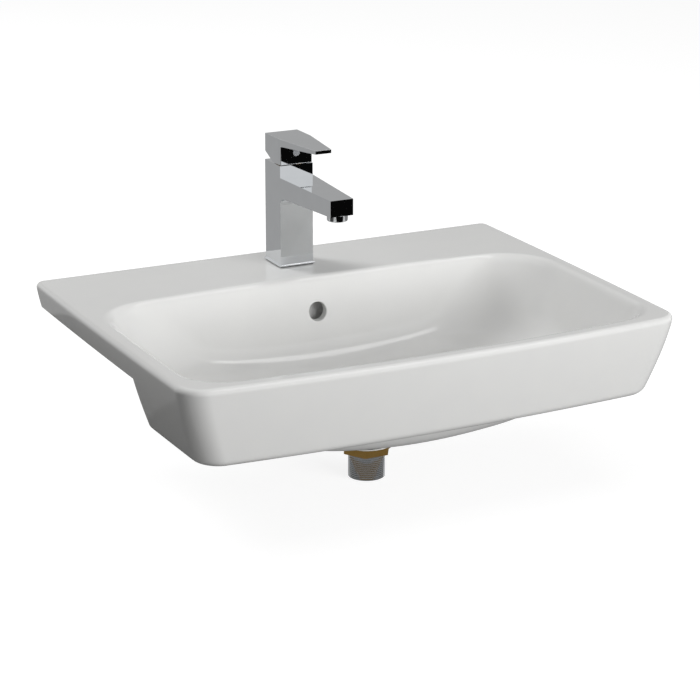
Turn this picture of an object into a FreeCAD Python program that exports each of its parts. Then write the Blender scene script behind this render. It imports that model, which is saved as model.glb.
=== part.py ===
import FreeCAD, Part
import math
import os
import Sketcher
from FreeCAD import Placement, Rotation, Vector

# A semi recessed ceramic basin with a single lever mixer tap and a push waste.
# Origin: middle of the rear seat strip, on the worktop plane. +X right, +Y to the wall, +Z up.
# Lengths are in millimetres, angles in degrees.

SIZES = {
    # basin, outside
    "basin_width": 600,
    "basin_depth": 460,
    "rim_height": 32,
    "apron_height": 92,
    "worktop_depth": 296,
    "front_bow": 14.5,
    "side_taper": 5,
    "widest_setback": 120,
    "rear_corner_radius": 11,
    "front_corner_radius": 27,
    "side_lean": 25.5,
    "front_lean": 19.5,
    "rim_edge_radius": 7,
    "apron_edge_radius": 8,
    "foot_width": 16,
    "apron_wall": 12,
    "deck_wall": 14,
    # basin, bowl
    "deck_depth": 127,
    "rear_bow": 14,
    "rim_land": 22,
    "bowl_rear_radius": 60,
    "bowl_front_radius": 46,
    "bowl_radius_growth": 0.75,
    "lip_reach": 8,
    "bowl_depth": 116,
    "rear_wall_slope": 12,
    "side_wall_slope": 24,
    "front_wall_slope": 18,
    "rear_floor_rise": 0.29,
    "side_floor_rise": 0.19,
    "front_floor_rise": 0.06,
    "crease_reach": 22,
    "bowl_wall": 10,
    # basin, overflow and waste seat
    "overflow_diameter": 22,
    "overflow_drop": 41,
    "duct_width": 36,
    "duct_gap": 14,
    "duct_wall": 8,
    "waste_setback": 262,
    "waste_hole_diameter": 46,
    "waste_seat_diameter": 66,
    "waste_seat_recess": 3,
    "collar_diameter": 78,
    "collar_height": 38,
    # tap
    "tap_setback": 58,
    "tap_hole_diameter": 35,
    "tap_width": 42,
    "tap_height": 122.5,
    "spigot_diameter": 32,
    "spigot_drop": 5,
    "base_seal": 1,
    "base_plate": 2,
    "base_margin": 1.6,
    "spout_reach": 140.5,
    "spout_top": 108.5,
    "spout_tip_top": 107.5,
    "spout_root_thickness": 24,
    "spout_tip_thickness": 19,
    "spout_tip_width": 28.4,
    "spout_fillet": 9,
    "waterway_diameter": 6.5,
    "waterway_low": 87,
    "waterway_high": 98.5,
    "inlet_diameter": 9,
    "inlet_length": 14,
    "inlet_spread": 14,
    "inlet_offset": 5,
    "passage_diameter": 5,
    # lever
    "lever_gap": 0.8,
    "lever_margin": 0.2,
    "lever_length": 93.5,
    "lever_rear_top": 153.9,
    "lever_tip_top": 154.6,
    "lever_tip_width": 20,
    "lever_tip_thickness": 4.2,
    "lever_root_underside": 145.5,
    "lever_chamfer": 9,
    "lever_taper_start": 15,
    "hub_diameter": 30,
    "hub_top": 133.5,
    "button_diameter": 8,
    "button_height": 137,
    "button_thickness": 1.5,
    "button_sink": 1.2,
    "button_plug_length": 5,
    "screw_diameter": 5,
    "screw_length": 7,
    # cartridge
    "pivot_height": 116.5,
    "stem_width": 6,
    "stem_top": 142.5,
    "stem_bottom": 110.9,
    "stem_neck_diameter": 2.4,
    "pivot_pin_diameter": 2.5,
    "pivot_pin_length": 17.6,
    "ball_height": 107.8,
    "ball_diameter": 4.4,
    "cartridge_diameter": 28,
    "cartridge_seat": 93.5,
    "cartridge_base_height": 6,
    "port_spread": 9.2,
    "port_offset": 3.5,
    "port_diameter": 3.6,
    "base_port_diameter": 4.4,
    "base_port_overlap": 1,
    "outlet_offset": 1.5,
    "outlet_diameter": 4,
    "port_seal_diameter": 7,
    "port_seal_height": 1,
    "disc_thickness": 4,
    "fixed_disc_diameter": 22,
    "moving_disc_diameter": 15.8,
    "moving_disc_height": 6,
    "disc_gap": 0.1,
    "mixing_recess_diameter": 7.2,
    "mixing_recess_depth": 1,
    "ball_socket_diameter": 4.7,
    "ball_socket_depth": 4.1,
    "carrier_diameter": 20,
    "carrier_bottom": 109.9,
    "carrier_shoulder": 112.2,
    "carrier_neck_diameter": 18.5,
    "carrier_top": 124.5,
    "carrier_slot_length": 14,
    "housing_wall": 2.2,
    "housing_roof": 2,
    "housing_shoulder": 114.5,
    "housing_neck_diameter": 24,
    "housing_top": 119.5,
    "nut_diameter": 33.9,
    "nut_top_gap": 0.1,
    # aerator
    "aerator_setback": 11.5,
    "aerator_seat": 88.6,
    "aerator_diameter": 24,
    "aerator_drop": 7.3,
    "aerator_chamfer": 0.8,
    "aerator_thread_diameter": 19.9,
    "aerator_thread_length": 8,
    "aerator_bore_diameter": 16,
    "aerator_lip": 1,
    "aerator_lip_height": 1.5,
    "aerator_insert_height": 12,
    "aerator_jet_diameter": 2,
    "aerator_inner_ring": 2.8,
    "aerator_inner_jets": 6,
    "aerator_outer_ring": 5.8,
    "aerator_outer_jets": 12,
    "aerator_washer": 1.5,
    # tap fixing under the deck
    "stud_diameter": 8,
    "stud_length": 66,
    "stud_grip": 12,
    "stud_offset": 10,
    "clamp_washer_diameter": 50,
    "clamp_slot_width": 27,
    "clamp_slot_end": 2.5,
    "rubber_washer": 3,
    "steel_washer": 2,
    "stud_nut_flats": 13,
    "stud_nut_height": 16,
    # waste
    "flange_diameter": 63,
    "flange_thickness": 2,
    "flange_seal": 1,
    "waste_shank_diameter": 43.5,
    "waste_tail_diameter": 41.9,
    "waste_tail_length": 28,
    "waste_bore_diameter": 36,
    "waste_mouth_diameter": 40,
    "waste_mouth_depth": 3,
    "waste_length": 84,
    "slot_height": 14,
    "slot_width": 17,
    "slot_top": 9,
    "waste_washer_diameter": 60,
    "bottom_seal": 5,
    "slip_washer": 1.5,
    "waste_nut_height": 10,
    "waste_nut_flange": 3,
    "waste_nut_diameter": 58,
    "waste_nut_flats": 50,
    "spider_drop": 36,
    "spider_thickness": 5,
    "spider_arm": 3.5,
    "spider_boss_diameter": 20,
    "latch_diameter": 16,
    "latch_height": 24,
    "latch_bore_depth": 19,
    "plug_diameter": 46,
    "plug_thickness": 4,
    "plug_edge": 1.6,
    "plug_lift": 9.5,
    "plug_hub_diameter": 30,
    "plug_hub_height": 2.5,
    "plug_seal_diameter": 39.4,
    "plug_seal_low_diameter": 36.8,
    "plug_seal_edge": 0.5,
    "plug_stem_diameter": 8,
    "plug_stem_length": 31.5,
    # clearances
    "running_gap": 0.08,
    "free_gap": 0.3,
}

document = FreeCAD.newDocument("semi_recessed_basin")
sheet = document.addObject("Spreadsheet::Sheet", "Sizes")
for row, (alias, amount) in enumerate(SIZES.items(), start=1):
    sheet.set(f"A{row}", alias)
    sheet.set(f"B{row}", str(amount))
    sheet.setAlias(f"B{row}", alias)
document.recompute()


class Size:
    """A length that knows both its value and the sheet formula that gives it."""

    def __init__(self, value, formula):
        self.value = float(value)
        self.formula = formula

    def __add__(self, other):
        other = as_size(other)
        return Size(self.value + other.value, f"({self.formula} + {other.formula})")

    def __sub__(self, other):
        other = as_size(other)
        return Size(self.value - other.value, f"({self.formula} - {other.formula})")

    def __mul__(self, other):
        other = as_size(other)
        return Size(self.value * other.value, f"({self.formula} * {other.formula})")

    def __truediv__(self, other):
        other = as_size(other)
        return Size(self.value / other.value, f"({self.formula} / {other.formula})")

    def __neg__(self):
        return Size(-self.value, f"(-1 * {self.formula})")


def as_size(number):
    """A Size stays as it is, and a plain number becomes one."""
    if isinstance(number, Size):
        return number
    return Size(number, str(number))


def size(alias):
    """The Size that a cell of the sheet holds."""
    return Size(getattr(sheet, alias), f"Sizes.{alias}")


def bind(item, **lengths):
    """Tie properties of an object to the sheet."""
    for name, length in lengths.items():
        setattr(item, name, as_size(length).value)
        item.setExpression(name, as_size(length).formula)


def put(item, x=0, y=0, z=0, rotation=None):
    """Place an object, each coordinate tied to the sheet."""
    turn = rotation or Rotation()
    base = [as_size(x), as_size(y), as_size(z)]
    item.Placement = Placement(Vector(*[length.value for length in base]), turn)
    for axis, length in zip("xyz", base):
        item.setExpression(f"Placement.Base.{axis}", length.formula)


# Heights and places that several pieces share, in the basin's own frame.
REAR_FACE = size("foot_width") / 2
FRONT_FACE = REAR_FACE - size("basin_depth")
NOTCH_FACE = REAR_FACE - size("worktop_depth")
DECK = size("rim_height")
DECK_UNDERSIDE = DECK - size("deck_wall")
TAP_Y = REAR_FACE - size("tap_setback")
WASTE_Y = REAR_FACE - size("waste_setback")
WASTE_SEAT = DECK - size("bowl_depth")
SEAL_SEAT = WASTE_SEAT - size("waste_seat_recess")
COLLAR_BOTTOM = WASTE_SEAT - size("collar_height")
OVERFLOW_Z = DECK - size("overflow_drop")
LARGE = 400.0
TOUCH = 0.5


# ---------------------------------------------------------------- building blocks


def box(name, x, y, z, length, width, height):
    """A block from its low corner."""
    block = document.addObject("Part::Box", name)
    bind(block, Length=length, Width=width, Height=height)
    put(block, x, y, z)
    return block


def rod(name, radius, height, x=0, y=0, z=0, rotation=None):
    """A cylinder that starts at a point and runs up, or along the turned axis."""
    cylinder = document.addObject("Part::Cylinder", name)
    bind(cylinder, Radius=radius, Height=height)
    put(cylinder, x, y, z, rotation)
    return cylinder


def hexagon(name, flats, height, x=0, y=0, z=0):
    """A hexagonal prism given by the distance across its flats."""
    prism = document.addObject("Part::Prism", name)
    prism.Polygon = 6
    bind(prism, Circumradius=as_size(flats) / math.sqrt(3), Height=height)
    put(prism, x, y, z)
    return prism


def joined(name, pieces):
    """One solid from several that touch."""
    result = document.addObject("Part::MultiFuse", name)
    result.Shapes = pieces
    result.Refine = True
    return result


def cut(name, base, tools):
    """A solid less one or more tools."""
    tool = tools[0]
    if len(tools) > 1:
        tool = joined(name + "_tools", tools)
    result = document.addObject("Part::Cut", name)
    result.Base = base
    result.Tool = tool
    return result


def origin_plane(body, role):
    """One of the body's own origin planes."""
    return [feature for feature in body.Origin.OriginFeatures if feature.Role == role][0]


def sketch_on(body, name, role, lift=0):
    """An empty sketch on an origin plane, moved along the plane's normal."""
    sketch = body.newObject("Sketcher::SketchObject", name)
    sketch.AttachmentSupport = [(origin_plane(body, role), "")]
    sketch.MapMode = "FlatFace"
    lift = as_size(lift)
    sketch.AttachmentOffset = Placement(Vector(0, 0, lift.value), Rotation())
    sketch.setExpression("AttachmentOffset.Base.z", lift.formula)
    return sketch


def draw_polygon(sketch, points):
    """A closed outline of straight lines, each corner tied to the sheet."""
    corners = [(as_size(across), as_size(up)) for across, up in points]
    first = sketch.GeometryCount
    count = len(corners)
    for index in range(count):
        start = corners[index]
        end = corners[(index + 1) % count]
        line = Part.LineSegment(Vector(start[0].value, start[1].value, 0),
                                Vector(end[0].value, end[1].value, 0))
        sketch.addGeometry(line)
    for index, (across, up) in enumerate(corners):
        line = first + index
        following = first + (index + 1) % count
        sketch.addConstraint(Sketcher.Constraint("Coincident", line, 2, following, 1))
        sideways = sketch.addConstraint(Sketcher.Constraint("DistanceX", -1, 1, line, 1, across.value))
        sketch.setExpression(f"Constraints[{sideways}]", across.formula)
        upwards = sketch.addConstraint(Sketcher.Constraint("DistanceY", -1, 1, line, 1, up.value))
        sketch.setExpression(f"Constraints[{upwards}]", up.formula)


def draw_circle(sketch, radius, across=0, up=0):
    """A circle whose centre and radius are tied to the sheet."""
    radius = as_size(radius)
    across = as_size(across)
    up = as_size(up)
    circle = sketch.addGeometry(Part.Circle(Vector(across.value, up.value, 0), Vector(0, 0, 1), radius.value))
    width = sketch.addConstraint(Sketcher.Constraint("Radius", circle, radius.value))
    sketch.setExpression(f"Constraints[{width}]", radius.formula)
    sideways = sketch.addConstraint(Sketcher.Constraint("DistanceX", -1, 1, circle, 3, across.value))
    sketch.setExpression(f"Constraints[{sideways}]", across.formula)
    upwards = sketch.addConstraint(Sketcher.Constraint("DistanceY", -1, 1, circle, 3, up.value))
    sketch.setExpression(f"Constraints[{upwards}]", up.formula)


def turned(name, profile, x=0, y=0, z=0, rotation=None):
    """A body turned about its own axis from a profile of (radius, height) corners."""
    body = document.addObject("PartDesign::Body", name)
    sketch = sketch_on(body, name + "_profile", "XZ_Plane")
    draw_polygon(sketch, profile)
    turn = body.newObject("PartDesign::Revolution", name + "_turn")
    turn.Profile = sketch
    turn.ReferenceAxis = (sketch, ["V_Axis"])
    turn.Angle = 360
    put(body, x, y, z, rotation)
    return body


def ring(name, inner, outer, low, high, x=0, y=0, z=0):
    """A flat ring between two radii and two heights."""
    return turned(name, [(inner, low), (outer, low), (outer, high), (inner, high)], x, y, z)


def draw(sketch, outline):
    """A polygon, or a circle where the outline is (radius, across, up)."""
    if isinstance(outline, tuple):
        draw_circle(sketch, *outline)
    else:
        draw_polygon(sketch, outline)


def padded(body, name, role, outline, height, lift=0, symmetric=False):
    """A pad of an outline on one of the body's planes."""
    sketch = sketch_on(body, name + "_outline", role, lift)
    draw(sketch, outline)
    pad = body.newObject("PartDesign::Pad", name)
    pad.Profile = sketch
    bind(pad, Length=height)
    if symmetric:
        pad.SideType = "Symmetric"
    return pad


def pocketed(body, name, role, outline, depth, lift=0, symmetric=False, upwards=False):
    """A pocket of an outline on one of the body's planes."""
    sketch = sketch_on(body, name + "_outline", role, lift)
    draw(sketch, outline)
    pocket = body.newObject("PartDesign::Pocket", name)
    pocket.Profile = sketch
    bind(pocket, Length=depth)
    pocket.Reversed = upwards
    if symmetric:
        pocket.SideType = "Symmetric"
    return pocket


def rectangle(half_width, low, high):
    """Four corners of a rectangle that is centred across."""
    return [(-half_width, low), (half_width, low), (half_width, high), (-half_width, high)]


def rounded(body, name, base, chosen, radius):
    """A fillet on the edges of a feature that a test picks."""
    document.recompute()
    edges = [f"Edge{index}" for index, edge in enumerate(base.Shape.Edges, start=1) if chosen(edge)]
    fillet = body.newObject("PartDesign::Fillet", name)
    fillet.Base = (base, edges)
    bind(fillet, Radius=radius)
    return fillet


# ---------------------------------------------------------------- the basin's forms


def mm(alias):
    """The plain value of a size."""
    return size(alias).value


SIDE_RADIUS = ((mm("basin_depth") - mm("widest_setback")) ** 2 / mm("side_taper") + mm("side_taper")) / 2
FRONT_RADIUS = ((mm("basin_width") / 2) ** 2 / mm("front_bow") + mm("front_bow")) / 2
BOWL_HALF_WIDTH = mm("basin_width") / 2 - mm("rim_land")
BOWL_REAR_RADIUS = (BOWL_HALF_WIDTH ** 2 / mm("rear_bow") + mm("rear_bow")) / 2
WIDEST_Y = REAR_FACE.value - mm("widest_setback")
LEAN_POWER = 1.33


def lean(depth, total):
    """How far a side has drawn in at a depth below the deck: little at first, then more."""
    return total * (max(depth, 0) / mm("apron_height")) ** LEAN_POWER


def corner_arc(centre, radius, other_centre, other_radius, corner):
    """The circle of a corner that touches two larger arcs from inside, and its two contact points."""
    reach = radius - corner
    other_reach = other_radius - corner
    gap = other_centre - centre
    along = (reach ** 2 - other_reach ** 2 + gap.Length ** 2) / (2 * gap.Length)
    across = math.sqrt(reach ** 2 - along ** 2)
    direction = gap / gap.Length
    normal = Vector(direction.y, -direction.x, 0)
    options = [centre + direction * along + normal * (sign * across) for sign in (1, -1)]
    middle = max(options, key=lambda point: point.x)
    first = centre + (middle - centre).normalize() * radius
    second = other_centre + (middle - other_centre).normalize() * other_radius
    return middle, first, second


def arc_through(start, centre, corner, end):
    """An arc from start to end about a centre, on the side away from it."""
    bulge = centre + ((start + end) / 2 - centre).normalize() * corner
    return Part.Arc(start, bulge, end).toShape()


def outline(depth, inset, rear_inset):
    """The basin's outer line at a depth below the deck, drawn in by an inset.

    A straight rear, two bowed sides and a bowed front, with round corners.
    """
    height = DECK.value - depth
    side_in = inset + lean(depth, mm("side_lean"))
    front_in = inset + lean(depth, mm("front_lean"))
    half = mm("basin_width") / 2
    side_centre = Vector(half - SIDE_RADIUS, WIDEST_Y, 0)
    side = SIDE_RADIUS - side_in
    front_centre = Vector(0, FRONT_FACE.value + FRONT_RADIUS, 0)
    front = FRONT_RADIUS - front_in
    rear_y = REAR_FACE.value - rear_inset
    corner = mm("front_corner_radius") - inset
    rear_corner = max(mm("rear_corner_radius") - inset, TOUCH)
    middle, side_end, front_start = corner_arc(side_centre, side, front_centre, front, corner)
    rear_middle_y = rear_y - rear_corner
    rear_middle_x = side_centre.x + math.sqrt((side - rear_corner) ** 2 - (rear_middle_y - side_centre.y) ** 2)
    rear_middle = Vector(rear_middle_x, rear_middle_y, 0)
    rear_start = Vector(rear_middle_x, rear_y, 0)
    side_start = side_centre + (rear_middle - side_centre).normalize() * side

    def mirrored(point):
        return Vector(-point.x, point.y, 0)

    right = [
        arc_through(rear_start, rear_middle, rear_corner, side_start),
        arc_through(side_start, side_centre, side, side_end),
        arc_through(side_end, middle, corner, front_start),
    ]
    front_arc = arc_through(front_start, front_centre, front, mirrored(front_start))
    left = [
        arc_through(mirrored(front_start), mirrored(middle), corner, mirrored(side_end)),
        arc_through(mirrored(side_end), mirrored(side_centre), side, mirrored(side_start)),
        arc_through(mirrored(side_start), mirrored(rear_middle), rear_corner, mirrored(rear_start)),
    ]
    rear = Part.LineSegment(mirrored(rear_start), rear_start).toShape()
    wire = Part.Wire(right + [front_arc] + left + [rear])
    wire.translate(Vector(0, 0, height))
    return wire


OUTLINE_SHARES = (0.0, 0.25, 0.5, 0.75, 1.0)
EDGE_TURNS = (0.0, 22.5, 45.0, 67.5, 90.0)


def outline_block(inset, rear_inset, top_depth, bottom_depth):
    """The solid inside the outer line between two depths below the deck."""
    wires = []
    for share in OUTLINE_SHARES:
        depth = bottom_depth + (top_depth - bottom_depth) * share
        wires.append(outline(depth, inset, rear_inset))
    return Part.makeLoft(wires, True, False)


def edge_round(radius, rear_radius, face_depth, down):
    """The slice behind a rounded edge that starts on a level face, seen from above or below."""
    wires = []
    for turn in EDGE_TURNS:
        sunk = radius * (1 - math.sin(math.radians(turn)))
        drawn_in = 1 - math.cos(math.radians(turn))
        wires.append(outline(face_depth + sunk * down, radius * drawn_in, rear_radius * drawn_in))
    return Part.makeLoft(wires, True, True)


def outer_block():
    """The whole outside of the basin with its rim and its apron's edge rounded."""
    rim = mm("rim_edge_radius")
    apron = mm("apron_edge_radius")
    depth = mm("apron_height")
    side = outline_block(0.0, 0.0, rim, depth - apron)
    return side.fuse([edge_round(rim, rim, 0.0, 1), edge_round(apron, 0.0, depth, -1)]).removeSplitter()


def corner_blend(first, second, radius):
    """Signed distance to a corner of two sides, rounded with a radius: negative inside."""
    outside = math.hypot(max(first + radius, 0.0), max(second + radius, 0.0))
    return min(max(first, second), -radius) + outside


def bowl_distance(x, y, depth, grow):
    """Signed distance in plan from the bowl's wall at a depth, with the bowl grown by a wall."""
    inward = [depth * math.tan(math.radians(mm(name))) - grow for name in
              ("side_wall_slope", "rear_wall_slope", "front_wall_slope")]
    side_centre = BOWL_HALF_WIDTH - SIDE_RADIUS
    side = math.hypot(abs(x) - side_centre, y - WIDEST_Y) - (SIDE_RADIUS - inward[0])
    rear_centre = REAR_FACE.value - mm("deck_depth") - BOWL_REAR_RADIUS
    rear = math.hypot(x, y - rear_centre) - (BOWL_REAR_RADIUS - inward[1])
    front_centre = FRONT_FACE.value + mm("rim_land") + FRONT_RADIUS
    front = math.hypot(x, y - front_centre) - (FRONT_RADIUS - inward[2])
    spread = mm("bowl_radius_growth") * max(depth, 0.0) + grow
    rear_blend = corner_blend(side, rear, mm("bowl_rear_radius") + spread)
    front_blend = corner_blend(side, front, mm("bowl_front_radius") + spread)
    return max(rear_blend, front_blend)


def wall_reach(angle, depth, grow):
    """Distance from the waste axis to the bowl's wall along a ray, found by halving."""
    near = 0.0
    far = LARGE
    for _ in range(STEPS):
        middle = (near + far) / 2
        x = middle * math.cos(angle)
        y = WASTE_Y.value + middle * math.sin(angle)
        if bowl_distance(x, y, depth, grow) < 0:
            near = middle
        else:
            far = middle
    return near


def floor_rise(angle):
    """Slope of the floor away from the waste: steep to the rear, slight to the front."""
    rearward = math.sin(angle)
    side = mm("side_floor_rise")
    if rearward > 0:
        return side + (mm("rear_floor_rise") - side) * rearward ** 2
    return side + (mm("front_floor_rise") - side) * rearward ** 2


def bend(start, corner, end, share):
    """A point on the parabola that leaves one side of a corner and joins the other."""
    point = start * (1 - share) ** 2 + corner * (2 * share * (1 - share)) + end * share ** 2
    return point.x, point.y


def bowl_profile(angle, grow):
    """One section of the bowl from the deck to the waste seat, as (reach, depth) points.

    A parabola round the lip, a straight wall, a parabola round the crease, and a straight floor.
    """
    seat_radius = mm("waste_seat_diameter") / 2
    bottom = mm("bowl_depth") + grow
    rise = floor_rise(angle)
    crease = bottom
    for _ in range(STEPS):
        crease = bottom - rise * (wall_reach(angle, crease, grow) - seat_radius)
    corner = Vector(wall_reach(angle, crease, grow), crease, 0)
    lip = 0.0 if grow else mm("lip_reach")
    top_depth = SKIN_TOP if grow else lip
    reach = mm("crease_reach") + grow
    wall_depth = crease - reach
    wall_end = Vector(wall_reach(angle, wall_depth, grow), wall_depth, 0)
    inward = min(reach, (corner.x - seat_radius) / 2)
    floor_start = Vector(corner.x - inward, crease + rise * inward, 0)
    points = []
    if lip:
        lip_corner = Vector(wall_reach(angle, 0.0, 0.0), 0, 0)
        lip_start = lip_corner + Vector(lip, 0, 0)
        lip_end = Vector(wall_reach(angle, lip, 0.0), lip, 0)
        points = [bend(lip_start, lip_corner, lip_end, share) for share in LIP_SHARES]
    for share in WALL_SHARES:
        depth = top_depth + (wall_depth - top_depth) * share
        points.append((wall_reach(angle, depth, grow), depth))
    points += [bend(wall_end, corner, floor_start, share) for share in CREASE_SHARES]
    seat = Vector(seat_radius, bottom, 0)
    points += [bend(floor_start, (floor_start + seat) / 2, seat, share) for share in FLOOR_SHARES]
    return points


RAYS = 56
STEPS = 40
SKIN_TOP = 6.0
LIP_SHARES = (0.0, 0.3, 0.65)
WALL_SHARES = (0.0, 0.5, 1.0)
CREASE_SHARES = (0.2, 0.4, 0.6, 0.8, 1.0)
FLOOR_SHARES = (0.3, 0.65, 1.0)
RAY_ASPECT = 0.56


def bowl_solid(grow):
    """The bowl as a solid: its hollow when grow is nothing, and its outer skin when it is a wall."""
    rings = [[] for _ in bowl_profile(0.0, grow)]
    for index in range(RAYS):
        turn = 2 * math.pi * index / RAYS
        angle = math.atan2(RAY_ASPECT * math.sin(turn), math.cos(turn))
        for ring, (reach, depth) in zip(rings, bowl_profile(angle, grow)):
            x = reach * math.cos(angle)
            y = WASTE_Y.value + reach * math.sin(angle)
            ring.append(Vector(x, y, DECK.value - depth))
    steps = [float(step) for step in range(RAYS + 1)]
    wires = []
    for ring in rings:
        curve = Part.BSplineCurve()
        curve.interpolate(Points=ring, Parameters=steps, PeriodicFlag=True)
        wires.append(Part.Wire(curve.toShape()))
    return Part.makeLoft(wires, True, True)


def duct_prism(grow, width, top):
    """A straight prism that follows the bowl's rear section at a distance, from the waste axis back."""
    ahead = WASTE_Y.value
    low = DECK.value - mm("bowl_depth") - grow
    section = [Vector(-width / 2, ahead + reach, DECK.value - depth)
               for reach, depth in bowl_profile(math.pi / 2, grow)]
    corners = section + [Vector(-width / 2, ahead, low), Vector(-width / 2, ahead, section[0].z)]
    prism = Part.Face(Part.makePolygon(corners + [section[0]])).extrude(Vector(width, 0, 0))
    return prism.cut(slab(0, -LARGE, top, 2 * LARGE, 2 * LARGE, LARGE))


def slab(x, y, z, width, depth, height):
    """A plain block for cutting, centred in X."""
    return Part.makeBox(width, depth, height, Vector(x - width / 2, y, z))


def basin_casting():
    """The glazed casting: rim and apron, a hollow under the deck, the bowl and the overflow duct."""
    block = outer_block()
    recess = slab(0, NOTCH_FACE.value, -LARGE, 2 * LARGE, LARGE * 2, LARGE)
    block = block.cut(recess)
    hollow = outline_block(mm("apron_wall"), mm("foot_width"), mm("deck_wall"),
                           mm("apron_height") + TOUCH)
    shell = block.cut(hollow)
    wall = mm("bowl_wall")
    skin = bowl_solid(wall)
    duct_width = mm("duct_width")
    duct_top = OVERFLOW_Z.value + mm("overflow_diameter") / 2 + TOUCH
    duct_space = duct_prism(wall + mm("duct_gap"), duct_width, duct_top)
    duct_shell = duct_prism(wall + mm("duct_gap") + mm("duct_wall"), duct_width + 2 * mm("duct_wall"),
                            DECK_UNDERSIDE.value + TOUCH)
    collar = Part.makeCylinder(mm("collar_diameter") / 2, mm("collar_height") - wall / 2,
                               Vector(0, WASTE_Y.value, COLLAR_BOTTOM.value))
    casting = shell.fuse([skin, duct_shell, collar])
    casting = casting.cut(duct_space.cut(skin))
    casting = casting.cut(bowl_solid(0.0))
    return casting.Solids[0]


casting_shape = basin_casting()
casting = document.addObject("Part::Feature", "basin_casting")
casting.Shape = casting_shape
ALONG_Y = Rotation(Vector(1, 0, 0), 90)

basin_holes = [
    rod("tap_hole", size("tap_hole_diameter") / 2, size("rim_height") * 2, 0, TAP_Y, -DECK),
    rod("waste_hole", size("waste_hole_diameter") / 2, size("collar_height") * 2, 0, WASTE_Y,
        COLLAR_BOTTOM - TOUCH),
    rod("waste_recess", size("waste_seat_diameter") / 2, size("waste_seat_recess") * 2, 0, WASTE_Y, SEAL_SEAT),
    rod("overflow_hole", size("overflow_diameter") / 2, size("deck_depth") / 2, 0,
        REAR_FACE - size("deck_depth") + size("duct_gap"), OVERFLOW_Z, ALONG_Y),
]
basin = cut("basin", casting, basin_holes)

# ---------------------------------------------------------------- tap body
# Each piece of the tap is drawn about the tap's axis, with its heights from the deck.

HALF = size("tap_width") / 2
REACH = size("spout_reach")
TIP_HALF = size("spout_tip_width") / 2
TAP_BOTTOM = size("base_seal") + size("base_plate")
SPIGOT_BOTTOM = -size("spigot_drop")
SEAT = size("cartridge_seat")
AERATOR_Y = size("aerator_setback") - REACH
INLET_X = size("inlet_spread") / 2
INLET_Y = -size("inlet_offset")
SIDES = ((-1, "hot"), (1, "cold"))
SHOULDER = size("housing_shoulder")
TAP_TOP = size("tap_height")
HOLE_RADIUS = size("spigot_diameter") / 2 + size("free_gap")


def taper(side, half, start, tip_half, length):
    """The piece to take off one side so that a bar narrows from a start to its tip."""
    beyond = length + TOUCH
    return [(half * side, -start), (tip_half * side, -length), (tip_half * side, -beyond),
            ((half + TOUCH) * side, -beyond), ((half + TOUCH) * side, -start)]


tap_casting = document.addObject("PartDesign::Body", "tap_casting")
padded(tap_casting, "tap_column", "XY_Plane", rectangle(HALF, -HALF, HALF), TAP_TOP - TAP_BOTTOM, TAP_BOTTOM)
spout_side = [
    (0, size("spout_top") - size("spout_root_thickness")),
    (-HALF, size("spout_top") - size("spout_root_thickness")),
    (-REACH, size("spout_tip_top") - size("spout_tip_thickness")),
    (-REACH, size("spout_tip_top")),
    (-HALF, size("spout_top")),
    (0, size("spout_top")),
]
padded(tap_casting, "tap_spout", "YZ_Plane", spout_side, HALF * 2, symmetric=True)
pocketed(tap_casting, "spout_taper_right", "XY_Plane", taper(1, HALF, HALF, TIP_HALF, REACH), TAP_TOP, TAP_TOP)
spout = pocketed(tap_casting, "spout_taper_left", "XY_Plane", taper(-1, HALF, HALF, TIP_HALF, REACH),
                 TAP_TOP, TAP_TOP)


def is_spout_root(edge):
    """True for the level edge where the spout's underside leaves the column."""
    bounds = edge.BoundBox
    low = mm("spout_top") - mm("spout_root_thickness")
    level = abs(bounds.ZMin - low) < TOUCH and abs(bounds.ZMax - low) < TOUCH
    return level and abs(bounds.YMin + HALF.value) < TOUCH and abs(bounds.YMax + HALF.value) < TOUCH


rounded(tap_casting, "spout_root_fillet", spout, is_spout_root, size("spout_fillet"))
padded(tap_casting, "tap_spigot", "XY_Plane", (size("spigot_diameter") / 2, 0, 0),
       TAP_BOTTOM - SPIGOT_BOTTOM + TOUCH, SPIGOT_BOTTOM)
pocketed(tap_casting, "nut_bore", "XY_Plane", (size("nut_diameter") / 2, 0, 0), TAP_TOP - SHOULDER, TAP_TOP)
pocketed(tap_casting, "cartridge_bore", "XY_Plane", (size("cartridge_diameter") / 2 + size("free_gap"), 0, 0),
         TAP_TOP - SEAT, TAP_TOP)
pocketed(tap_casting, "outlet_port", "XY_Plane", (size("outlet_diameter") / 2, 0, size("outlet_offset")),
         SEAT - size("waterway_low") + TOUCH, SEAT + TOUCH)
pocketed(tap_casting, "stud_thread", "XY_Plane", (size("stud_diameter") / 2, 0, size("stud_offset")),
         TAP_BOTTOM + size("stud_grip") - SPIGOT_BOTTOM, SPIGOT_BOTTOM, upwards=True)
for side, word in SIDES:
    pocketed(tap_casting, word + "_inlet", "XY_Plane", (size("inlet_diameter") / 2, INLET_X * side, INLET_Y),
             size("inlet_length"), SPIGOT_BOTTOM, upwards=True)
    pocketed(tap_casting, word + "_passage", "XY_Plane",
             (size("passage_diameter") / 2, INLET_X * side, INLET_Y), SEAT - SPIGOT_BOTTOM + TOUCH,
             SPIGOT_BOTTOM, upwards=True)
pocketed(tap_casting, "aerator_face", "XY_Plane", (size("aerator_diameter") / 2 + size("free_gap"), 0, AERATOR_Y),
         size("aerator_drop"), size("aerator_seat") - size("aerator_drop"), upwards=True)
pocketed(tap_casting, "aerator_thread", "XY_Plane", (size("aerator_thread_diameter") / 2, 0, AERATOR_Y),
         size("aerator_thread_length") + size("aerator_washer"), size("aerator_seat"), upwards=True)
put(tap_casting, 0, TAP_Y, DECK)
outlet_y = size("outlet_offset")
waterway_run = outlet_y.value - AERATOR_Y.value
waterway_climb = mm("waterway_high") - mm("waterway_low")
climb_angle = math.degrees(math.atan2(waterway_climb, waterway_run))
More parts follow.
